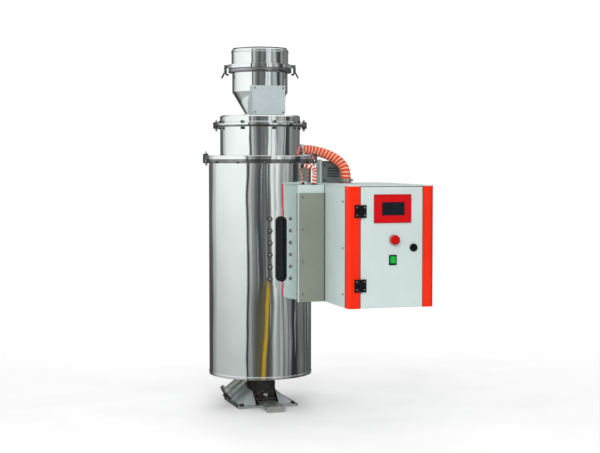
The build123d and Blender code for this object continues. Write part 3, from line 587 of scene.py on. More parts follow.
def spaced(points, step):
    """The same line with evenly spaced points."""
    out = [points[0].copy()]
    left = step
    for a, b in zip(points, points[1:]):
        run = (b - a).length
        at = 0.0
        while run - at >= left:
            at += left
            out.append(a.lerp(b, at / run))
            left = step
        left -= run - at
    if (out[-1] - points[-1]).length > step * 0.3:
        out.append(points[-1].copy())
    return out


def spiral_hose(name, node_name, route, r, pitch, ridge, step, share, second):
    """A hose with a ridge wound round it; a share of each turn, in the valley, takes the second colour."""
    points = spaced(route_line(name + "_line", route), step)
    bm = bmesh.new()
    sides = 40
    rings = []
    for i, (p, side, other) in enumerate(crossings(points)):
        ring = []
        for k in range(sides):
            a = 2 * math.pi * k / sides
            phase = (i * step / pitch + k / sides) % 1.0
            swell = abs(math.sin(math.pi * phase)) ** 0.7
            reach = r - ridge + ridge * swell
            ring.append(bm.verts.new(p + reach * (side * math.cos(a) + other * math.sin(a))))
        rings.append(ring)
    for i, (here, after) in enumerate(zip(rings, rings[1:])):
        for k in range(sides):
            m = (k + 1) % sides
            face = bm.faces.new((here[k], here[m], after[m], after[k]))
            face.smooth = True
            phase = ((i + 0.5) * step / pitch + (k + 0.5) / sides) % 1.0
            face.material_index = 1 if min(phase, 1 - phase) < share / 2 else 0
    bm.faces.new(list(reversed(rings[0])))
    bm.faces.new(rings[-1])
    mesh = bpy.data.meshes.new(name)
    bm.to_mesh(mesh)
    bm.free()
    mesh.materials.append(LOOKS["hose_orange"])
    mesh.materials.append(second)
    obj = bpy.data.objects.new(name, mesh)
    scene.collection.objects.link(obj)
    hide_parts(node_name)
    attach(obj, "root")


# the large hose's second colour is partly a painted highlight on its ribs; the small hose's white stripe is
# its own colour
spiral_hose(
    "large_hose_ribbed", "large_hose", LARGE_ROUTE, LARGE_R * MM,
    pitch=0.0160, ridge=0.0018, step=0.0008, share=0.36, second=LOOKS["hose_wire_and_highlight"],
)
spiral_hose(
    "small_hose_striped", "small_hose", SMALL_ROUTE, SMALL_R * MM,
    pitch=0.0150, ridge=0.0006, step=0.0006, share=0.46, second=LOOKS["hose_white"],
)


# ---------------------------------------------------------------- base and drain


def base_fittings():
    bolts = Piece()
    for x in (-BOLT_AT, BOLT_AT):
        for y in (-BOLT_AT, BOLT_AT):
            hex_bolt(bolts, shift(x, y, PLATE_TOP) @ spin(random.uniform(0, 60)), 16, 7)
    bolts.done("base_bolts", "gate_black", look="black_oxide", edge=0.0004)
    welds = Piece()
    for r, z in FLARE_EDGES:
        corners = [(-r, -r, z), (r, -r, z), (r, r, z), (-r, r, z)]
        ring = []
        for a, b in zip(corners, corners[1:] + corners[:1]):
            ring += line(a, b)[:-1]
        welds.bead(ring, 1.8, True)
    welds.bead(circle(HOPPER_R - 0.5, HOPPER_Z[0] + 0.2, 360), 1.3, True)
    welds.done("base_weld_beads", "flare_grey", look="weld")
    front = Piece()
    for x, z in ((-31, 42), (-31, 110), (31, 110), (31, 42)):
        hex_bolt(front, facing(x, HOUSING_FRONT - 9, z), 9, 4)
    front.done("gate_cover_bolts", "gate_black", look="black_oxide")
    knob = Piece()
    knob.lathe(
        [(0, 0), (9, 0), (9, 3), (6, 5), (6, 8), (8.5, 10), (8.5, 13), (6.5, 15.4), (3, 16.6), (0, 17)],
        facing(4, -65, 44), 40, False
    )
    knob.done("gate_clamp_knob", "clamp_steel", look="zinc")
    ribs = Piece()
    for x in (-50.0, 50.0):
        for y in (-40, 0, 36):
            ribs.box((x - 3, x + 3), (y - 4, y + 4), (64, 130))
    for z in (38, 60, 84, 112):
        ribs.box((-36, 36), (-66.4, -64.8), (z, z + 2.2))
    for x in (-36, -14, 12, 34):
        ribs.box((x, x + 2.2), (-66.2, -64.8), (60, 112))
    ribs.done("gate_housing_ribs", "gate_black", edge=0.001)
    guide = Piece()
    guide.box((-49.5, -45.2), (-84, -58), (12, 30))
    guide.box((45.2, 49.5), (-84, -58), (12, 30))
    guide.box((-49.5, 49.5), (-84, -60.2), (25, 30))
    guide.done("gate_guide_bars", "gate_black", edge=0.001)
    marks = Piece()
    spots = ((-38, -60.1, 48, 3.4), (-33, -65, 44, 2.6), (-41, -60.1, 42, 2.2), (-12, -84.1, 21, 2.2))
    for x, y, z, size in spots:
        marks.prism(9, size, 0.5, facing(x, y, z), size * 0.8)
    marks.done("thread_lock_paint", "gate_black", look="paint_mark")
    seal = Piece()
    seal.box((-44, 44), (-61.4, -59.6), (14.5, 17.4))
    seal.box((-44, 44), (-61.4, -59.6), (22.6, 25.4))
    seal.done("gate_wiper_seal", "seal_black", edge=0.0004)
    grip = Piece()
    grip.tube(line((-40, -247, 4), (40, -247, 4)), 2.6, 14)
    grip.tube(line((-40, -247, 21.5), (40, -247, 21.5)), 1.6, 14)
    grip.done("gate_tongue_rolled_edge", SLOT_OF["slide_gate"], "gate", look="tongue")

    tilt = math.radians(SPOUT_TILT)
    out = Vector((-math.cos(tilt), 0, -math.sin(tilt)))
    mouth = Vector((SPOUT_END[0], 0, SPOUT_END[1]))
    spout = Piece()
    for back, reach in ((11, 27.4), (14, 27.2)):
        place = Matrix.Translation(mouth - out * back) @ toward(out)
        spout.lathe(bulge(26.5, reach + 1.6, reach + 2.0, 0, 1.4, 1.4), place, 64)
    spout.done("spout_swage_rings", SLOT_OF["drain_spout"])
    cap = Piece()
    at = Matrix.Translation(mouth) @ toward(out)
    cap.lathe([(24, 4.9), (28.5, 4.9), (29.6, 5.6), (28.8, 6.6), (24, 6.6)], at, 64)
    for i in range(16):
        cap.box((8.6, 9.8), (-0.9, 0.9), (6.5, 16), at @ spin(360 * i / 16))
    cap.done("drain_cap_grip", "seal_black", "drain_cap", edge=0.0003)


# ---------------------------------------------------------------- hopper, neck and loader


def clamp_hardware(name, radius, low, high, angles):
    """Nuts, threads and pads of the C clamps."""
    nuts = Piece()
    pads = Piece()
    for angle in angles:
        turn = spin(angle)
        at = turn @ shift(radius - 4, 0, high + 7) @ spin(random.uniform(0, 60))
        hex_bolt(nuts, at, 9, 5)
        nuts.prism(20, 3.2, 4.5, at @ shift(0, 0, 6))
        under = turn @ shift(radius - 4, 0, low - 15) @ UPSIDE_DOWN
        nuts.prism(20, 3.4, 4.5, under)
        nuts.lathe([(4.2, -7), (6.4, -7), (6.4, -2.5), (4.2, -2.5)], under, 24)
        pads.box((radius - 10, radius + 2), (-5, 5), (high + 0.1, high + 0.7), turn)
    nuts.done(name + "_nuts", "clamp_steel", look="zinc", edge=0.0003)
    pads.done(name + "_pads", "seal_black")


def hopper_fittings():
    seams = Piece()
    seams.bead(line((0, HOPPER_R + 0.1, HOPPER_Z[0] + 2), (0, HOPPER_R + 0.1, HOPPER_Z[1] - 18), 3.0), 1.1)
    seams.bead(line((0, NECK_R + 0.1, COVER_Z[1] + 2), (0, NECK_R + 0.1, NECK_TOP - 8), 3.0), 1.0)
    seams.bead(circle(NECK_R + 0.3, 1058.6, 300), 1.3, True)
    seams.bead(circle(HOPPER_R + 3.1, HOPPER_Z[1] - 7, 360), 0.9, True)
    seams.done("hopper_weld_seams", "mirror_steel", look="weld")
    # black rings: the neck's is a gasket; the one under the cover is partly a gasket and partly painted
    # shade, a dark shadow line under the flange
    gaskets = Piece()
    r = COVER_R
    gaskets.lathe(bulge(r - 10, r + 0.6, r + 1, COVER_Z[0] - 1, 0.8, 0.8), sides=160)
    r = NECK_FLANGE_R
    gaskets.lathe(bulge(r - 12, r + 0.6, r + 0.9, NECK_TOP + 0.5, 0.45, 0.45), sides=140)
    gaskets.done("flange_gaskets_and_shade_lines", "seal_black")
    beads = Piece()
    beads.lathe(bulge(NECK_R - 1, NECK_R + 2, NECK_R + 2.6, NECK_TOP + 14, 3, 2), sides=140)
    beads.lathe(bulge(HOPPER_R - 1, HOPPER_R + 1.4, HOPPER_R + 1.9, HOPPER_Z[0] + 9, 3, 2), sides=160)
    beads.done("swaged_rings", "mirror_steel", smooth=60)
    clamp_hardware("flange_clamps", COVER_R, HOPPER_Z[1], COVER_Z[1], CLAMP_ANGLES)
    clamp_hardware("neck_clamps", NECK_FLANGE_R, NECK_TOP - 6, NECK_TOP + 7, NECK_CLAMP_ANGLES)

    bolts = Piece()
    for i in range(FLANGE_BOLTS):
        turn = spin(BOLT_FROM + 360 / FLANGE_BOLTS * i)
        at = turn @ shift(FLANGE_BOLT_R, 0, HOPPER_Z[1] - 5) @ UPSIDE_DOWN
        bolts.prism(6, 4.4, 3.5, at)
    for i in range(NECK_BOLTS):
        turn = spin(BOLT_FROM + 360 / NECK_BOLTS * i)
        hex_bolt(bolts, turn @ shift(NECK_BOLT_R, 0, NECK_TOP - 11) @ UPSIDE_DOWN, 10, 5)
        hex_bolt(bolts, turn @ shift(NECK_BOLT_R, 0, NECK_TOP + 12), 10, 5)
    bolts.done("flange_bolt_heads", "hinge_black", look="black_oxide", edge=0.0003)


def sight_fittings():
    domes = Piece()
    washers = Piece()
    recess_shade = Piece()
    for side in (-1, 1):
        turn = spin(SIGHT_ANGLE + side * math.degrees(SIGHT_SCREW_REACH / HOPPER_R))
        for i in range(SIGHT_SCREWS):
            z = SIGHT_Z + SIGHT_SCREW_PITCH * (i - (SIGHT_SCREWS - 1) / 2)
            at = turn @ facing(0, -HOPPER_R - 7, z)
            domes.lathe([(0, 0), (4.4, 0), (3.6, 1.2), (0, 1.9)], at, 24, False)
            # a dark hexagon on each dome: painted shade in the socket
            recess_shade.prism(6, 2.3, 0.25, at @ shift(0, 0, 1.7))
            domes.lathe([(5.2, -4.2), (7.4, -4.2), (7.4, -3.2), (5.2, -3.2)], at, 28)
            reach = 11.5 if side < 0 else 8.5
            washers.lathe([(5.2, -5), (reach, -5), (reach - 0.8, -3.6), (5.2, -3.6)], at, 36)
    domes.done("sight_screw_domes", "clamp_steel", look="zinc")
    washers.done("sight_screw_washers", "seal_black")
    recess_shade.done("sight_screw_sockets", "clamp_steel", look="recess_shade")
    lip = Piece()
    outline = []
    r = 16.6
    for start, middle in ((0, SIGHT_Z + 114.5), (math.pi, SIGHT_Z - 114.5)):
        for i in range(49):
            a = start + math.pi * i / 48
            outline.append((r * math.cos(a), -HOPPER_R - 14.2, middle + r * math.sin(a)))
    lip.tube([spin(SIGHT_ANGLE) @ Vector(p) for p in outline], 1.5, 8, True)
    lip.done("sight_seal_lip", "seal_black")


def loader_fittings():
    seams = Piece()
    x, y = LOADER_R * math.sin(0.5), LOADER_R * math.cos(0.5)
    low, high = LOADER_WALL_Z
    seams.bead(line((x, y, low + 2), (x, y, high - 2), 3), 0.9)
    seams.bead(circle(LOADER_R + 0.1, low, 260), 1.1, True)
    seams.bead(circle(LOADER_R + 0.3, high, 260), 1.1, True)
    seams.done("loader_weld_seams", "mirror_steel", look="weld")
    lid_seams = Piece()
    lid_seams.bead(circle(121.8, 1457.2, 260), 1.1, True)
    lid_seams.done("loader_lid_seam", "mirror_steel", "lid", look="weld")
    ring = Piece()
    ring.lathe(bulge(120.5, 122.9, 123.6, 1510, 3, 2), sides=120)
    ring.lathe([(LOADER_R - 3, 1527.0), (20, 1530.6), (20, 1529.0), (LOADER_R - 3, 1525.4)], sides=96)
    ring.done("loader_lid_swage", "mirror_steel", "lid", smooth=60)
    gasket = Piece()
    gasket.lathe([(124, 1438.4), (133.0, 1438.4), (133.4, 1439.4), (133.0, 1440.3), (124, 1440.3)], sides=120)
    gasket.done("loader_gasket", "seal_black")
    strap = Piece()
    r, z = NECK_FLANGE_R, NECK_TOP
    outline = [(r - 2, z - 6.6), (r + 1, z - 6.6), (r + 1.4, z - 5), (r + 1.4, z + 0.6), (r - 2, z + 1)]
    strap.lathe(outline, sides=160)
    strap.done("neck_flange_band", "clamp_steel", look="rim_steel", smooth=50)
    band = Piece()
    outline = [(131, 1422.6), (133.6, 1422.6), (134.6, 1424), (134.6, 1436.6), (133.6, 1438), (131, 1438)]
    band.lathe(outline, sides=140)
    band.done("loader_flange_band", "clamp_steel", smooth=50)
    px, pz = LATCH_PIVOT
    for name, angle in LATCHES.items():
        turn = spin(angle)
        bail = Piece()
        loop = [(px + 3, -11.5, 1441), (px + 3, -11.5, 1424), (px - 2, -11.5, 1413.5), (px - 9, -9, 1411.5)]
        loop += [(px - 9, 9, 1411.5), (px - 2, 11.5, 1413.5), (px + 3, 11.5, 1424), (px + 3, 11.5, 1441)]
        bail.tube([turn @ Vector(p) for p in loop], 1.5, 10)
        for y, out in ((-14, FRONT), (14, BACK)):
            bail.prism(24, 5.0, 2.0, turn @ facing(px, y, pz, out))
        bail.done(name + "_bail", "clamp_steel", name, look="zinc")
    pad = Piece()
    # a black pad under the loader box: partly its foot gasket, partly painted shadow, the dark line between
    # box and lid
    pad.box((-66, 66), (-138.5, -80), (1240.2, 1243.1))
    pad.done("loader_box_pad_and_shadow", "seal_black")
    screws = Piece()
    crosses = Piece()
    for x in (-61, 61):
        for z in (1252, 1353):
            at = facing(x, BOX_FRONT - 2, z)
            screws.lathe([(0, 0), (4.2, 0), (3.6, 1.3), (0, 1.9)], at, 24, False)
            # dark crosses: painted shade in the recesses
            for a in (0, 90):
                crosses.box((-2.3, 2.3), (-0.45, 0.45), (1.5, 2.0), at @ spin(a + 20))
    screws.done("box_cover_screws", "clamp_steel", look="zinc")
    crosses.done("box_cover_recesses", "clamp_steel", look="recess_shade")
    seam = Piece()
    seam.box((-70.4, 70.4), (-140.6, -139.2), (1242.6, 1362.4))
    seam.done("box_cover_gasket", "seal_black")
    gland = Piece()
    gland.prism(6, 8.5, 4, facing(70, -112, 1322, RIGHT))
    gland.prism(24, 6.6, 7, facing(74, -112, 1322, RIGHT), 5.2)
    gland.done("box_cable_gland", "hinge_black", edge=0.0004)
    ports = (("inlet_bead", "root", 25, 184, 1385), ("vacuum_port_bead", "lid", 22, 174, 1487))
    for name, body, r, y, z in ports:
        bead = Piece()
        bead.lathe([(r - 0.4, -2), (r + 1.6, -1.4), (r + 1.6, 1.4), (r - 0.4, 2)], facing(0, y, z, BACK), 48)
        bead.done(name, "satin_steel", body)
    pleats = Piece()
    for i in range(PLEATS):
        pleats.box((49.6, 53.0), (-0.9, 0.9), (1348, 1436), spin(i * 360 / PLEATS))
    pleats.done("filter_pleats", "filter_white", edge=0.0004)


# ---------------------------------------------------------------- cabinet, bracket, door


def phillips(screws, crosses, at, r=4.2, angle=0.0):
    """A domed pan head with its cross, whose dark colour is painted shade in the recess, standing on local Z
    0.
    """
    screws.lathe([(0, 0), (r, 0), (r * 0.86, r * 0.32), (0, r * 0.45)], at, 24, False)
    for a in (0, 90):
        crosses.box((-r * 0.55, r * 0.55), (-r * 0.11, r * 0.11), (r * 0.36, r * 0.47), at @ spin(a + angle))


def cabinet_fittings():
    screws = Piece()
    crosses = Piece()
    for z in BRACKET_SCREWS_Z:
        phillips(screws, crosses, facing(132, BRACKET_FRONT - 3, z), 4.4, random.uniform(0, 90))
    for z in SIDE_SCREWS_Z:
        phillips(screws, crosses, facing(CAB_X[0], -433, z, LEFT), 4.4, random.uniform(0, 90))
    screws.done("panel_screw_domes", "clamp_steel", look="zinc")
    crosses.done("panel_screw_recesses", "clamp_steel", look="recess_shade")
    fixed, fixed_cross, moving, moving_cross = Piece(), Piece(), Piece(), Piece()
    for z in HINGE_Z:
        for dz in (-16, 16):
            for x, heads, slots in ((262, fixed, fixed_cross), (294, moving, moving_cross)):
                phillips(heads, slots, facing(x, DOOR_FACE - 6, z + dz), 3.6, random.uniform(0, 90))
    fixed.done("hinge_screws_frame", "clamp_steel", look="zinc")
    fixed_cross.done("hinge_recesses_frame", "clamp_steel", look="recess_shade")
    moving.done("hinge_screws_door", "clamp_steel", "door", look="zinc")
    moving_cross.done("hinge_recesses_door", "clamp_steel", "door", look="recess_shade")

    # black strips in the gaps beside the bracket cover, the door and the post: painted shade, dark lines for
    # the shadow in these gaps
    seams = Piece()
    seams.box((226.4, 228.4), (BRACKET_FRONT - 0.3, -190), (453, 912))
    seams.box((545.8, 547.8), (-507.6, -494), (455, 943))
    seams.box((278.0, 279.8), (-507.0, -494), (455, 943))
    seams.box((227.6, 231.2), (-462.6, -461.4), (453, 945))
    seams.done("gap_shade_lines", "seal_black")
    # a light grey plate on the dark top box's left side: painted light, this side lighter as the light falls
    # on it
    strip = Piece()
    strip.box((286.5, 299.5), (62, 64), (949, 1052))
    strip.box((286.5, 288.5), (62, 108), (949, 1052))
    strip.done("top_box_lit_side_plate", "cabinet_grey", edge=0.0006)
    box = Piece()
    box.box((299.6, 403.4), (61.6, 110.4), (1036, 1038))
    for x in (312, 391):
        for z in (960, 1026):
            box.prism(20, 3.6, 1.4, facing(x, 62, z))
    for i in range(7):
        box.box((325, 378), (61.0, 62.2), (975 + 7 * i, 978 + 7 * i))
    box.done("top_box_details", "hinge_black", edge=0.0003)
    grommet = Piece()
    outline = [(9.1, 0), (13.6, 0), (14.2, 2.2), (13.4, 4.5), (10, 5.5), (9.1, 5)]
    grommet.lathe(outline, shift(*SMALL_ROUTE[-1][:2], CAB_TOP), 48)
    grommet.done("small_hose_grommet", "seal_black")
    bands = Piece()
    r = LARGE_R + 2
    for place in (shift(390, -2, 962), spin(12) @ facing(199, 0, 1095, RIGHT)):
        bands.box((r - 0.5, r + 8), (-7, 7), (-4.6, 4.6), place @ spin(-60))
        bands.prism(6, 4.4, 5, place @ spin(-60) @ facing(r + 4, 7, 0, BACK))
        for i in range(44):
            bands.box((r - 0.2, r + 0.25), (-0.5, 0.5), (-3.4, 3.4), place @ spin(20 + i * 5.5))
    bands.done("worm_drive_housings", "clamp_steel", look="zinc", edge=0.0005)


def cabinet_inside():
    rail = Piece()
    rail.box((268, 562), (99, 104.5), (801, 804))
    rail.box((268, 562), (99, 104.5), (836, 839))
    rail.box((268, 562), (103, 106), (799, 841))
    rail.done("din_rail", "clamp_steel", look="zinc")
    duct = Piece()
    duct.box((270, 560), (60, 104), (895, 925))
    duct.box((270, 560), (60, 104), (712, 740))
    for i in range(46):
        x = 273 + i * 6.25
        duct.box((x, x + 2.6), (58.8, 60.4), (897, 912))
        duct.box((x, x + 2.6), (58.8, 60.4), (722, 738))
    duct.done("wiring_ducts", "control_plastic", edge=0.0004)
    terminals = Piece()
    first, pitch = 405, 8.2  # of the terminals
    for i in range(TERMINALS):
        x = first + i * pitch
        terminals.box((x, x + 7.2), (70, 104), (650, 690))
    terminals.done("terminal_blocks", "control_plastic", edge=0.0006)
    heads = Piece()
    for i in range(TERMINALS):
        for z in (658, 682):
            heads.prism(14, 2.2, 0.7, facing(first + 3.6 + i * pitch, 70, z))
    for x0 in (415, 465, 515):
        for k in range(3):
            for z in (776, 844):
                heads.prism(14, 3.2, 1.0, facing(x0 + 9 + 13.5 * k, 32, z))
    heads.done("terminal_screws", "clamp_steel", look="zinc")
    rail = Piece()
    rail.box((395, 530), (103, 106), (652, 688))
    rail.done("terminal_rail", "clamp_steel", look="zinc")
    for k, look in enumerate(("wire_brown", "wire_black", "wire_blue", "wire_earth")):
        wires = Piece()
        for i in range(3):
            x = 424 + 50 * i + 3.4 * k
            sway = random.uniform(-2, 2)
            points = [(x, 66 + k, 766), (x + sway, 56 - k, 752), (x + sway, 60, 742), (x - sway, 74, 734)]
            wires.tube(smooth_line(points), 1.5, 8)
            end = pitch * (k + 4 * i) % 115
            wires.tube(smooth_line([(410 + end, 74, 690), (412 + end, 68, 702), (x, 72, 716)]), 1.4, 8)
            high = [(x, 40, 850), (x + sway, 38 - k, 868), (x - sway, 52, 888), (x - sway, 74, 900)]
            wires.tube(smooth_line(high), 1.5, 8)
        wires.done("cabinet_wires_" + str(k + 1), "control_plastic", look=look, smooth=80)
    face = Piece()
    face.box((292, 388), (35.4, 37.2), (790, 868))
    face.box((300, 330), (33.8, 36.0), (842, 856))
    for i in range(10):
        face.box((296 + i * 9.2, 302.5 + i * 9.2), (34.4, 37.5), (764, 776))
    face.done("controller_face", "hinge_black", edge=0.0005)


def cabinet_back():
    slats = Piece()
    for i in range(9):
        z = 560 + 16 * i
        lean = shift(415, 110.5, z + 5) @ Matrix.Rotation(math.radians(-38), 4, "X")
        slats.box((-86, 86), (-0.8, 0.8), (-6.5, 4.5), lean)
    slats.done("rear_louvres", SLOT_OF["rear_panel"], edge=0.0004)
    rear = Piece()
    rear_cross = Piece()
    for x in (288, 413, 538):
        for z in (462, 936):
            phillips(rear, rear_cross, facing(x, 109, z, BACK), 4.0, random.uniform(0, 90))
    rear.done("rear_screws", "clamp_steel", look="zinc")
    rear_cross.done("rear_recesses", "clamp_steel", look="recess_shade")


def smooth_line(points, count=8):
    """A Catmull-Rom line through the points."""
    p = [Vector(points[0])] + [Vector(q) for q in points] + [Vector(points[-1])]
    out = []
    for a, b, c, d in zip(p, p[1:], p[2:], p[3:]):
        for i in range(count):
            t = i / count
            square = (2 * a - 5 * b + 4 * c - d) * t * t
            cube = (3 * b - a - 3 * c + d) * t * t * t
            out.append(0.5 * (2 * b + (c - a) * t + square + cube))
    out.append(p[-1])
    return out


def surround(piece, x, z, width, depth):
    """Four bars just inside a rectangle on the door."""
    for bar in ((x[0], x[0] + width), (x[1] - width, x[1])):
        piece.box(bar, depth, z)
    for bar in ((z[0], z[0] + width), (z[1] - width, z[1])):
        piece.box(x, depth, bar)


def door_fittings():
    glass = Piece()
    glass.box((369.0, 465.0), (DOOR_FACE - 4.6, DOOR_FACE - 3.4), (829, 881))
    glass.done("hmi_glass_pane", "hmi_glass", "door", edge=0.0006)
    rim = Piece()
    surround(rim, (365.5, 468.5), (825.5, 884.5), 2.7, (DOOR_FACE - 5.8, DOOR_FACE - 4.9))
    rim.done("hmi_inner_rim", "hmi_red", "door", edge=0.0004)
    edge = Piece()
    surround(edge, (335.2, 495.8), (797, 913), 1.8, (DOOR_FACE - 1.2, DOOR_FACE + 0.1))
    edge.done("hmi_gasket_line", "seal_black", "door")
    collar = Piece()
    collar.lathe([(13.5, 0), (21.5, 0), (21.5, 1.2), (20.5, 1.8), (13.5, 1.8)], facing(*STOP), 64)
    collar.done("stop_surround", "stem_grey", "door")
    head = Piece()
    head.lathe([(12.4, 24.4), (13.6, 24.4), (13.6, 25.5), (12.4, 25.5)], facing(*STOP), 64)
    for a in (90, 210, 330):
        head.box((15.4, 17.0), (-2.0, 2.0), (20.5, 23.0), facing(*STOP) @ spin(a))
    head.done("stop_head_ring", "stop_red", "stop_head", look="stop_dark")
    key = Piece()
    tilted = shift(*ROCKER) @ Matrix.Rotation(math.radians(-7), 4, "X")
    key.box((-8.5, 8.5), (-4.9, -4.2), (-11.5, 11.5), tilted)
    key.done("rocker_lens", "rocker_green", "rocker", edge=0.001)
    lock = Piece()
    lock.lathe([(10.6, 5.8), (12.0, 7.2), (14.6, 7.2), (15.8, 5.8)], facing(*LOCK), 64)
    lock.done("lock_collar_ring", "hinge_black", "door")


base_fittings()
hopper_fittings()
sight_fittings()
loader_fittings()
cabinet_fittings()
cabinet_inside()
cabinet_back()
door_fittings()

BEVELS = {
    "door_panel": 0.0012,
    "hmi_bezel": 0.0008,
    "loader_box_cover": 0.001,
    "loader_box": 0.0008,
    "bracket_cover": 0.001,
}
for name, width in BEVELS.items():
    soften(NODES[name], width, 50)


# ---------------------------------------------------------------- studio


STUDIO_TURN = 107.0  # turns the studio so that 0 degrees is toward the camera
STRIP_SLANT = 1.7
STRIP_DEPTH = 0.12  # how far below the horizon the strip has its stated angles
# the studio's panels: degrees round it, brightness
PANELS = [
    (-180, 0.10), (-140, 0.12), (-136, 0.10), (-132, 0.45), (-120, 0.60), (-112, 0.85), (-60, 1.0),
    (-31, 1.0), (-28, 0.05), (-25, 0.06), (-22, 0.60), (-15, 0.48), (-9, 0.17), (2, 0.09),
    (8, 0.22), (18, 0.16), (25, 0.20), (28, 0.95), (46, 0.85), (49, 0.42), (60, 0.52),
    (72, 0.36), (79, 0.04), (90, 0.06), (97, 0.30), (118, 0.22), (140, 0.20), (180, 0.10),
]


def studio():
    """A studio of tall soft panels and dark gaps round the object; the camera itself sees plain white."""
    world = bpy.data.worlds.new("studio")
    scene.world = world
    world.use_nodes = True
    tree = world.node_tree
    split = node(tree, "SeparateXYZ")
    tree.links.new(node(tree, "TexCoord").outputs["Generated"], split.inputs["Vector"])
    height = split.outputs["Z"]
    azimuth = calc(tree, "ARCTAN2", split.outputs["Y"], split.outputs["X"])
    turned = calc(tree, "ADD", azimuth, math.radians(STUDIO_TURN))
    lean = calc(tree, "MULTIPLY_ADD", height, 0.10, turned)
    sway = noise(tree, streak_coords(tree, turned, height, 7.0, 0.9, 16.0), 1.0, 3.0)
    swayed = calc(tree, "MULTIPLY_ADD", remap(tree, sway, 0, 1, -1, 1, "LINEAR"), 0.16, lean)
    round_about = calc(tree, "WRAP", swayed, math.pi, -math.pi)

    ramp = node(tree, "ValToRGB")
    tree.links.new(remap(tree, round_about, -math.pi, math.pi, 0, 1, "LINEAR"), ramp.inputs["Fac"])
    elements = ramp.color_ramp.elements
    while len(elements) < len(PANELS):
        elements.new(0.5)
    for element, (degrees, level) in zip(elements, PANELS):
        element.position = (degrees + 180) / 360
        element.color = (level, level * 1.005, level, 1)

    def between(value, low, high, to_low, to_high):
        return remap(tree, value, math.radians(low), math.radians(high), to_low, to_high)

    # thin dark streaks and bright glints, everywhere but in the large white panel
    streaks = noise(tree, streak_coords(tree, round_about, height), 1.0, 4.0, rough=0.6)
    beyond = between(round_about, -23, -18, 0, 1)
    busy = calc(tree, "MULTIPLY", beyond, remap(tree, streaks, 0.42, 0.60, 0, 1))
    panels = mixed(tree, calc(tree, "MULTIPLY", busy, 0.52), ramp.outputs["Color"], (0.035, 0.045, 0.048))
    glow = noise(tree, streak_coords(tree, round_about, height, 31.0), 1.3, 3.0)
    lit = calc(tree, "MULTIPLY", beyond, remap(tree, glow, 0.60, 0.68, 0, 0.75))
    panels = mixed(tree, lit, panels, (0.78, 0.80, 0.80))
    faded = node(tree, "VectorMath", operation="SCALE")
    tree.links.new(panels, faded.inputs[0])
    tree.links.new(remap(tree, height, -0.17, 0.03, 0.60, 1.14), faded.inputs["Scale"])

    # a leaning ochre strip with an olive haze on its left, low down only
    low = remap(tree, height, -0.075, -0.10, 0, 1)
    slant = calc(tree, "MULTIPLY_ADD", height, -STRIP_SLANT, round_about)
    slant = calc(tree, "SUBTRACT", slant, STRIP_SLANT * STRIP_DEPTH)
    right = between(slant, 14, 17, 1, 0)
    haze = calc(tree, "MULTIPLY", calc(tree, "MULTIPLY", low, between(slant, -14, 9, 0, 0.8)), right)
    strip = calc(tree, "MULTIPLY", calc(tree, "MULTIPLY", low, between(slant, 8, 10, 0, 1)), right)
    colour = mixed(tree, haze, faded.outputs[0], (0.14, 0.12, 0.06))
    colour = mixed(tree, strip, colour, (0.55, 0.33, 0.02))
    colour = mixed(tree, remap(tree, height, 0.35, 0.75, 0, 1), colour, (1.0, 1.0, 1.0))
    colour = mixed(tree, remap(tree, height, -0.45, -0.8, 0, 1), colour, (0.5, 0.5, 0.5))
    seen = mixed(tree, node(tree, "LightPath").outputs["Is Camera Ray"], colour, (1.0, 1.0, 1.0))
    tree.links.new(seen, tree.nodes["Background"].inputs["Color"])
    tree.nodes["Background"].inputs["Strength"].default_value = 1.0


def streak_coords(tree, turn, height, offset=0.0, across=9.0, along=6.0):
    """Coordinates that vary fast round the studio and slowly up and down it."""
    joined = node(tree, "CombineXYZ")
    tree.links.new(calc(tree, "MULTIPLY_ADD", turn, across, offset), joined.inputs["X"])
    tree.links.new(calc(tree, "MULTIPLY_ADD", height, along, offset), joined.inputs["Y"])
    return joined.outputs[0]


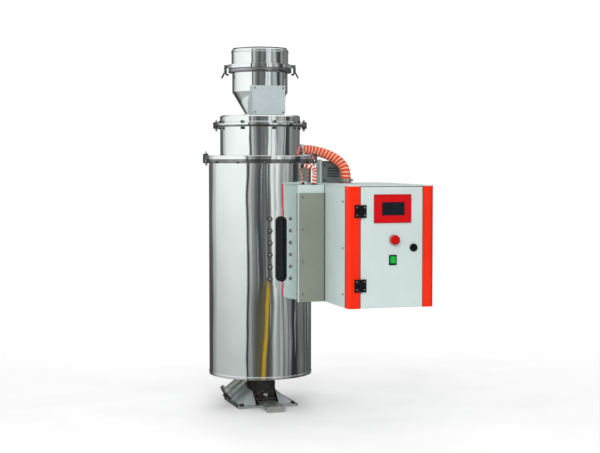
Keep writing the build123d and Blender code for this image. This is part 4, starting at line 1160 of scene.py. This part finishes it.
def floor():
    """A pale floor that fades out into the white round it."""
    bpy.ops.mesh.primitive_circle_add(vertices=96, radius=3.2, fill_type="NGON", location=(0, 0, -0.0005))
    ground = bpy.context.object
    ground.name = "floor"
    made = bpy.data.materials.new("floor")
    made.use_nodes = True
    tree = made.node_tree
    shader = tree.nodes["Principled BSDF"]
    shader.inputs["Roughness"].default_value = 0.6
    coords = node(tree, "TexCoord").outputs["Object"]
    cloud = remap(tree, noise(tree, coords, 3.0, 6.0), 0.3, 0.7, 0, 1)
    tree.links.new(mixed(tree, cloud, (0.88, 0.88, 0.88), (0.93, 0.93, 0.93)), shader.inputs["Base Color"])
    length = node(tree, "VectorMath", operation="LENGTH")
    tree.links.new(coords, length.inputs[0])
    fade = remap(tree, length.outputs["Value"], 0.35, 2.8, 0, 1)
    clear = node(tree, "BsdfTransparent")
    blend = node(tree, "MixShader")
    tree.links.new(fade, blend.inputs["Fac"])
    tree.links.new(shader.outputs[0], blend.inputs[1])
    tree.links.new(clear.outputs[0], blend.inputs[2])
    tree.links.new(blend.outputs[0], tree.nodes["Material Output"].inputs["Surface"])
    ground.data.materials.append(made)
    ground.visible_glossy = False


def lamp(name, at, toward_point, size, power, tint=(1, 1, 1)):
    data = bpy.data.lights.new(name, "AREA")
    data.shape = "RECTANGLE"
    data.size, data.size_y = size
    data.energy = power
    data.color = tint
    obj = bpy.data.objects.new(name, data)
    obj.location = at
    obj.rotation_euler = (Vector(toward_point) - Vector(at)).to_track_quat("-Z", "Y").to_euler()
    obj.visible_glossy = False
    scene.collection.objects.link(obj)


studio()
floor()
lamp("key", (-0.9, -2.9, 1.9), (0.3, -0.3, 0.8), (1.3, 1.3), 46)
lamp("fill", (2.2, -4.4, 0.5), (-0.1, 0, 0.05), (2.0, 0.8), 13)
lamp("back", (1.0, 3.4, 2.6), (0.2, 0, 0.9), (2.0, 1.6), 60)
scene.view_settings.view_transform = "Standard"

camera = bpy.data.objects.new("camera", bpy.data.cameras.new("camera"))
scene.collection.objects.link(camera)
camera.location = (-1.5607, -5.6925, 1.068)
camera.rotation_euler = (math.radians(87.05), 0, math.radians(-17))
camera.data.lens = 82.2
camera.data.sensor_width = 36
scene.camera = camera
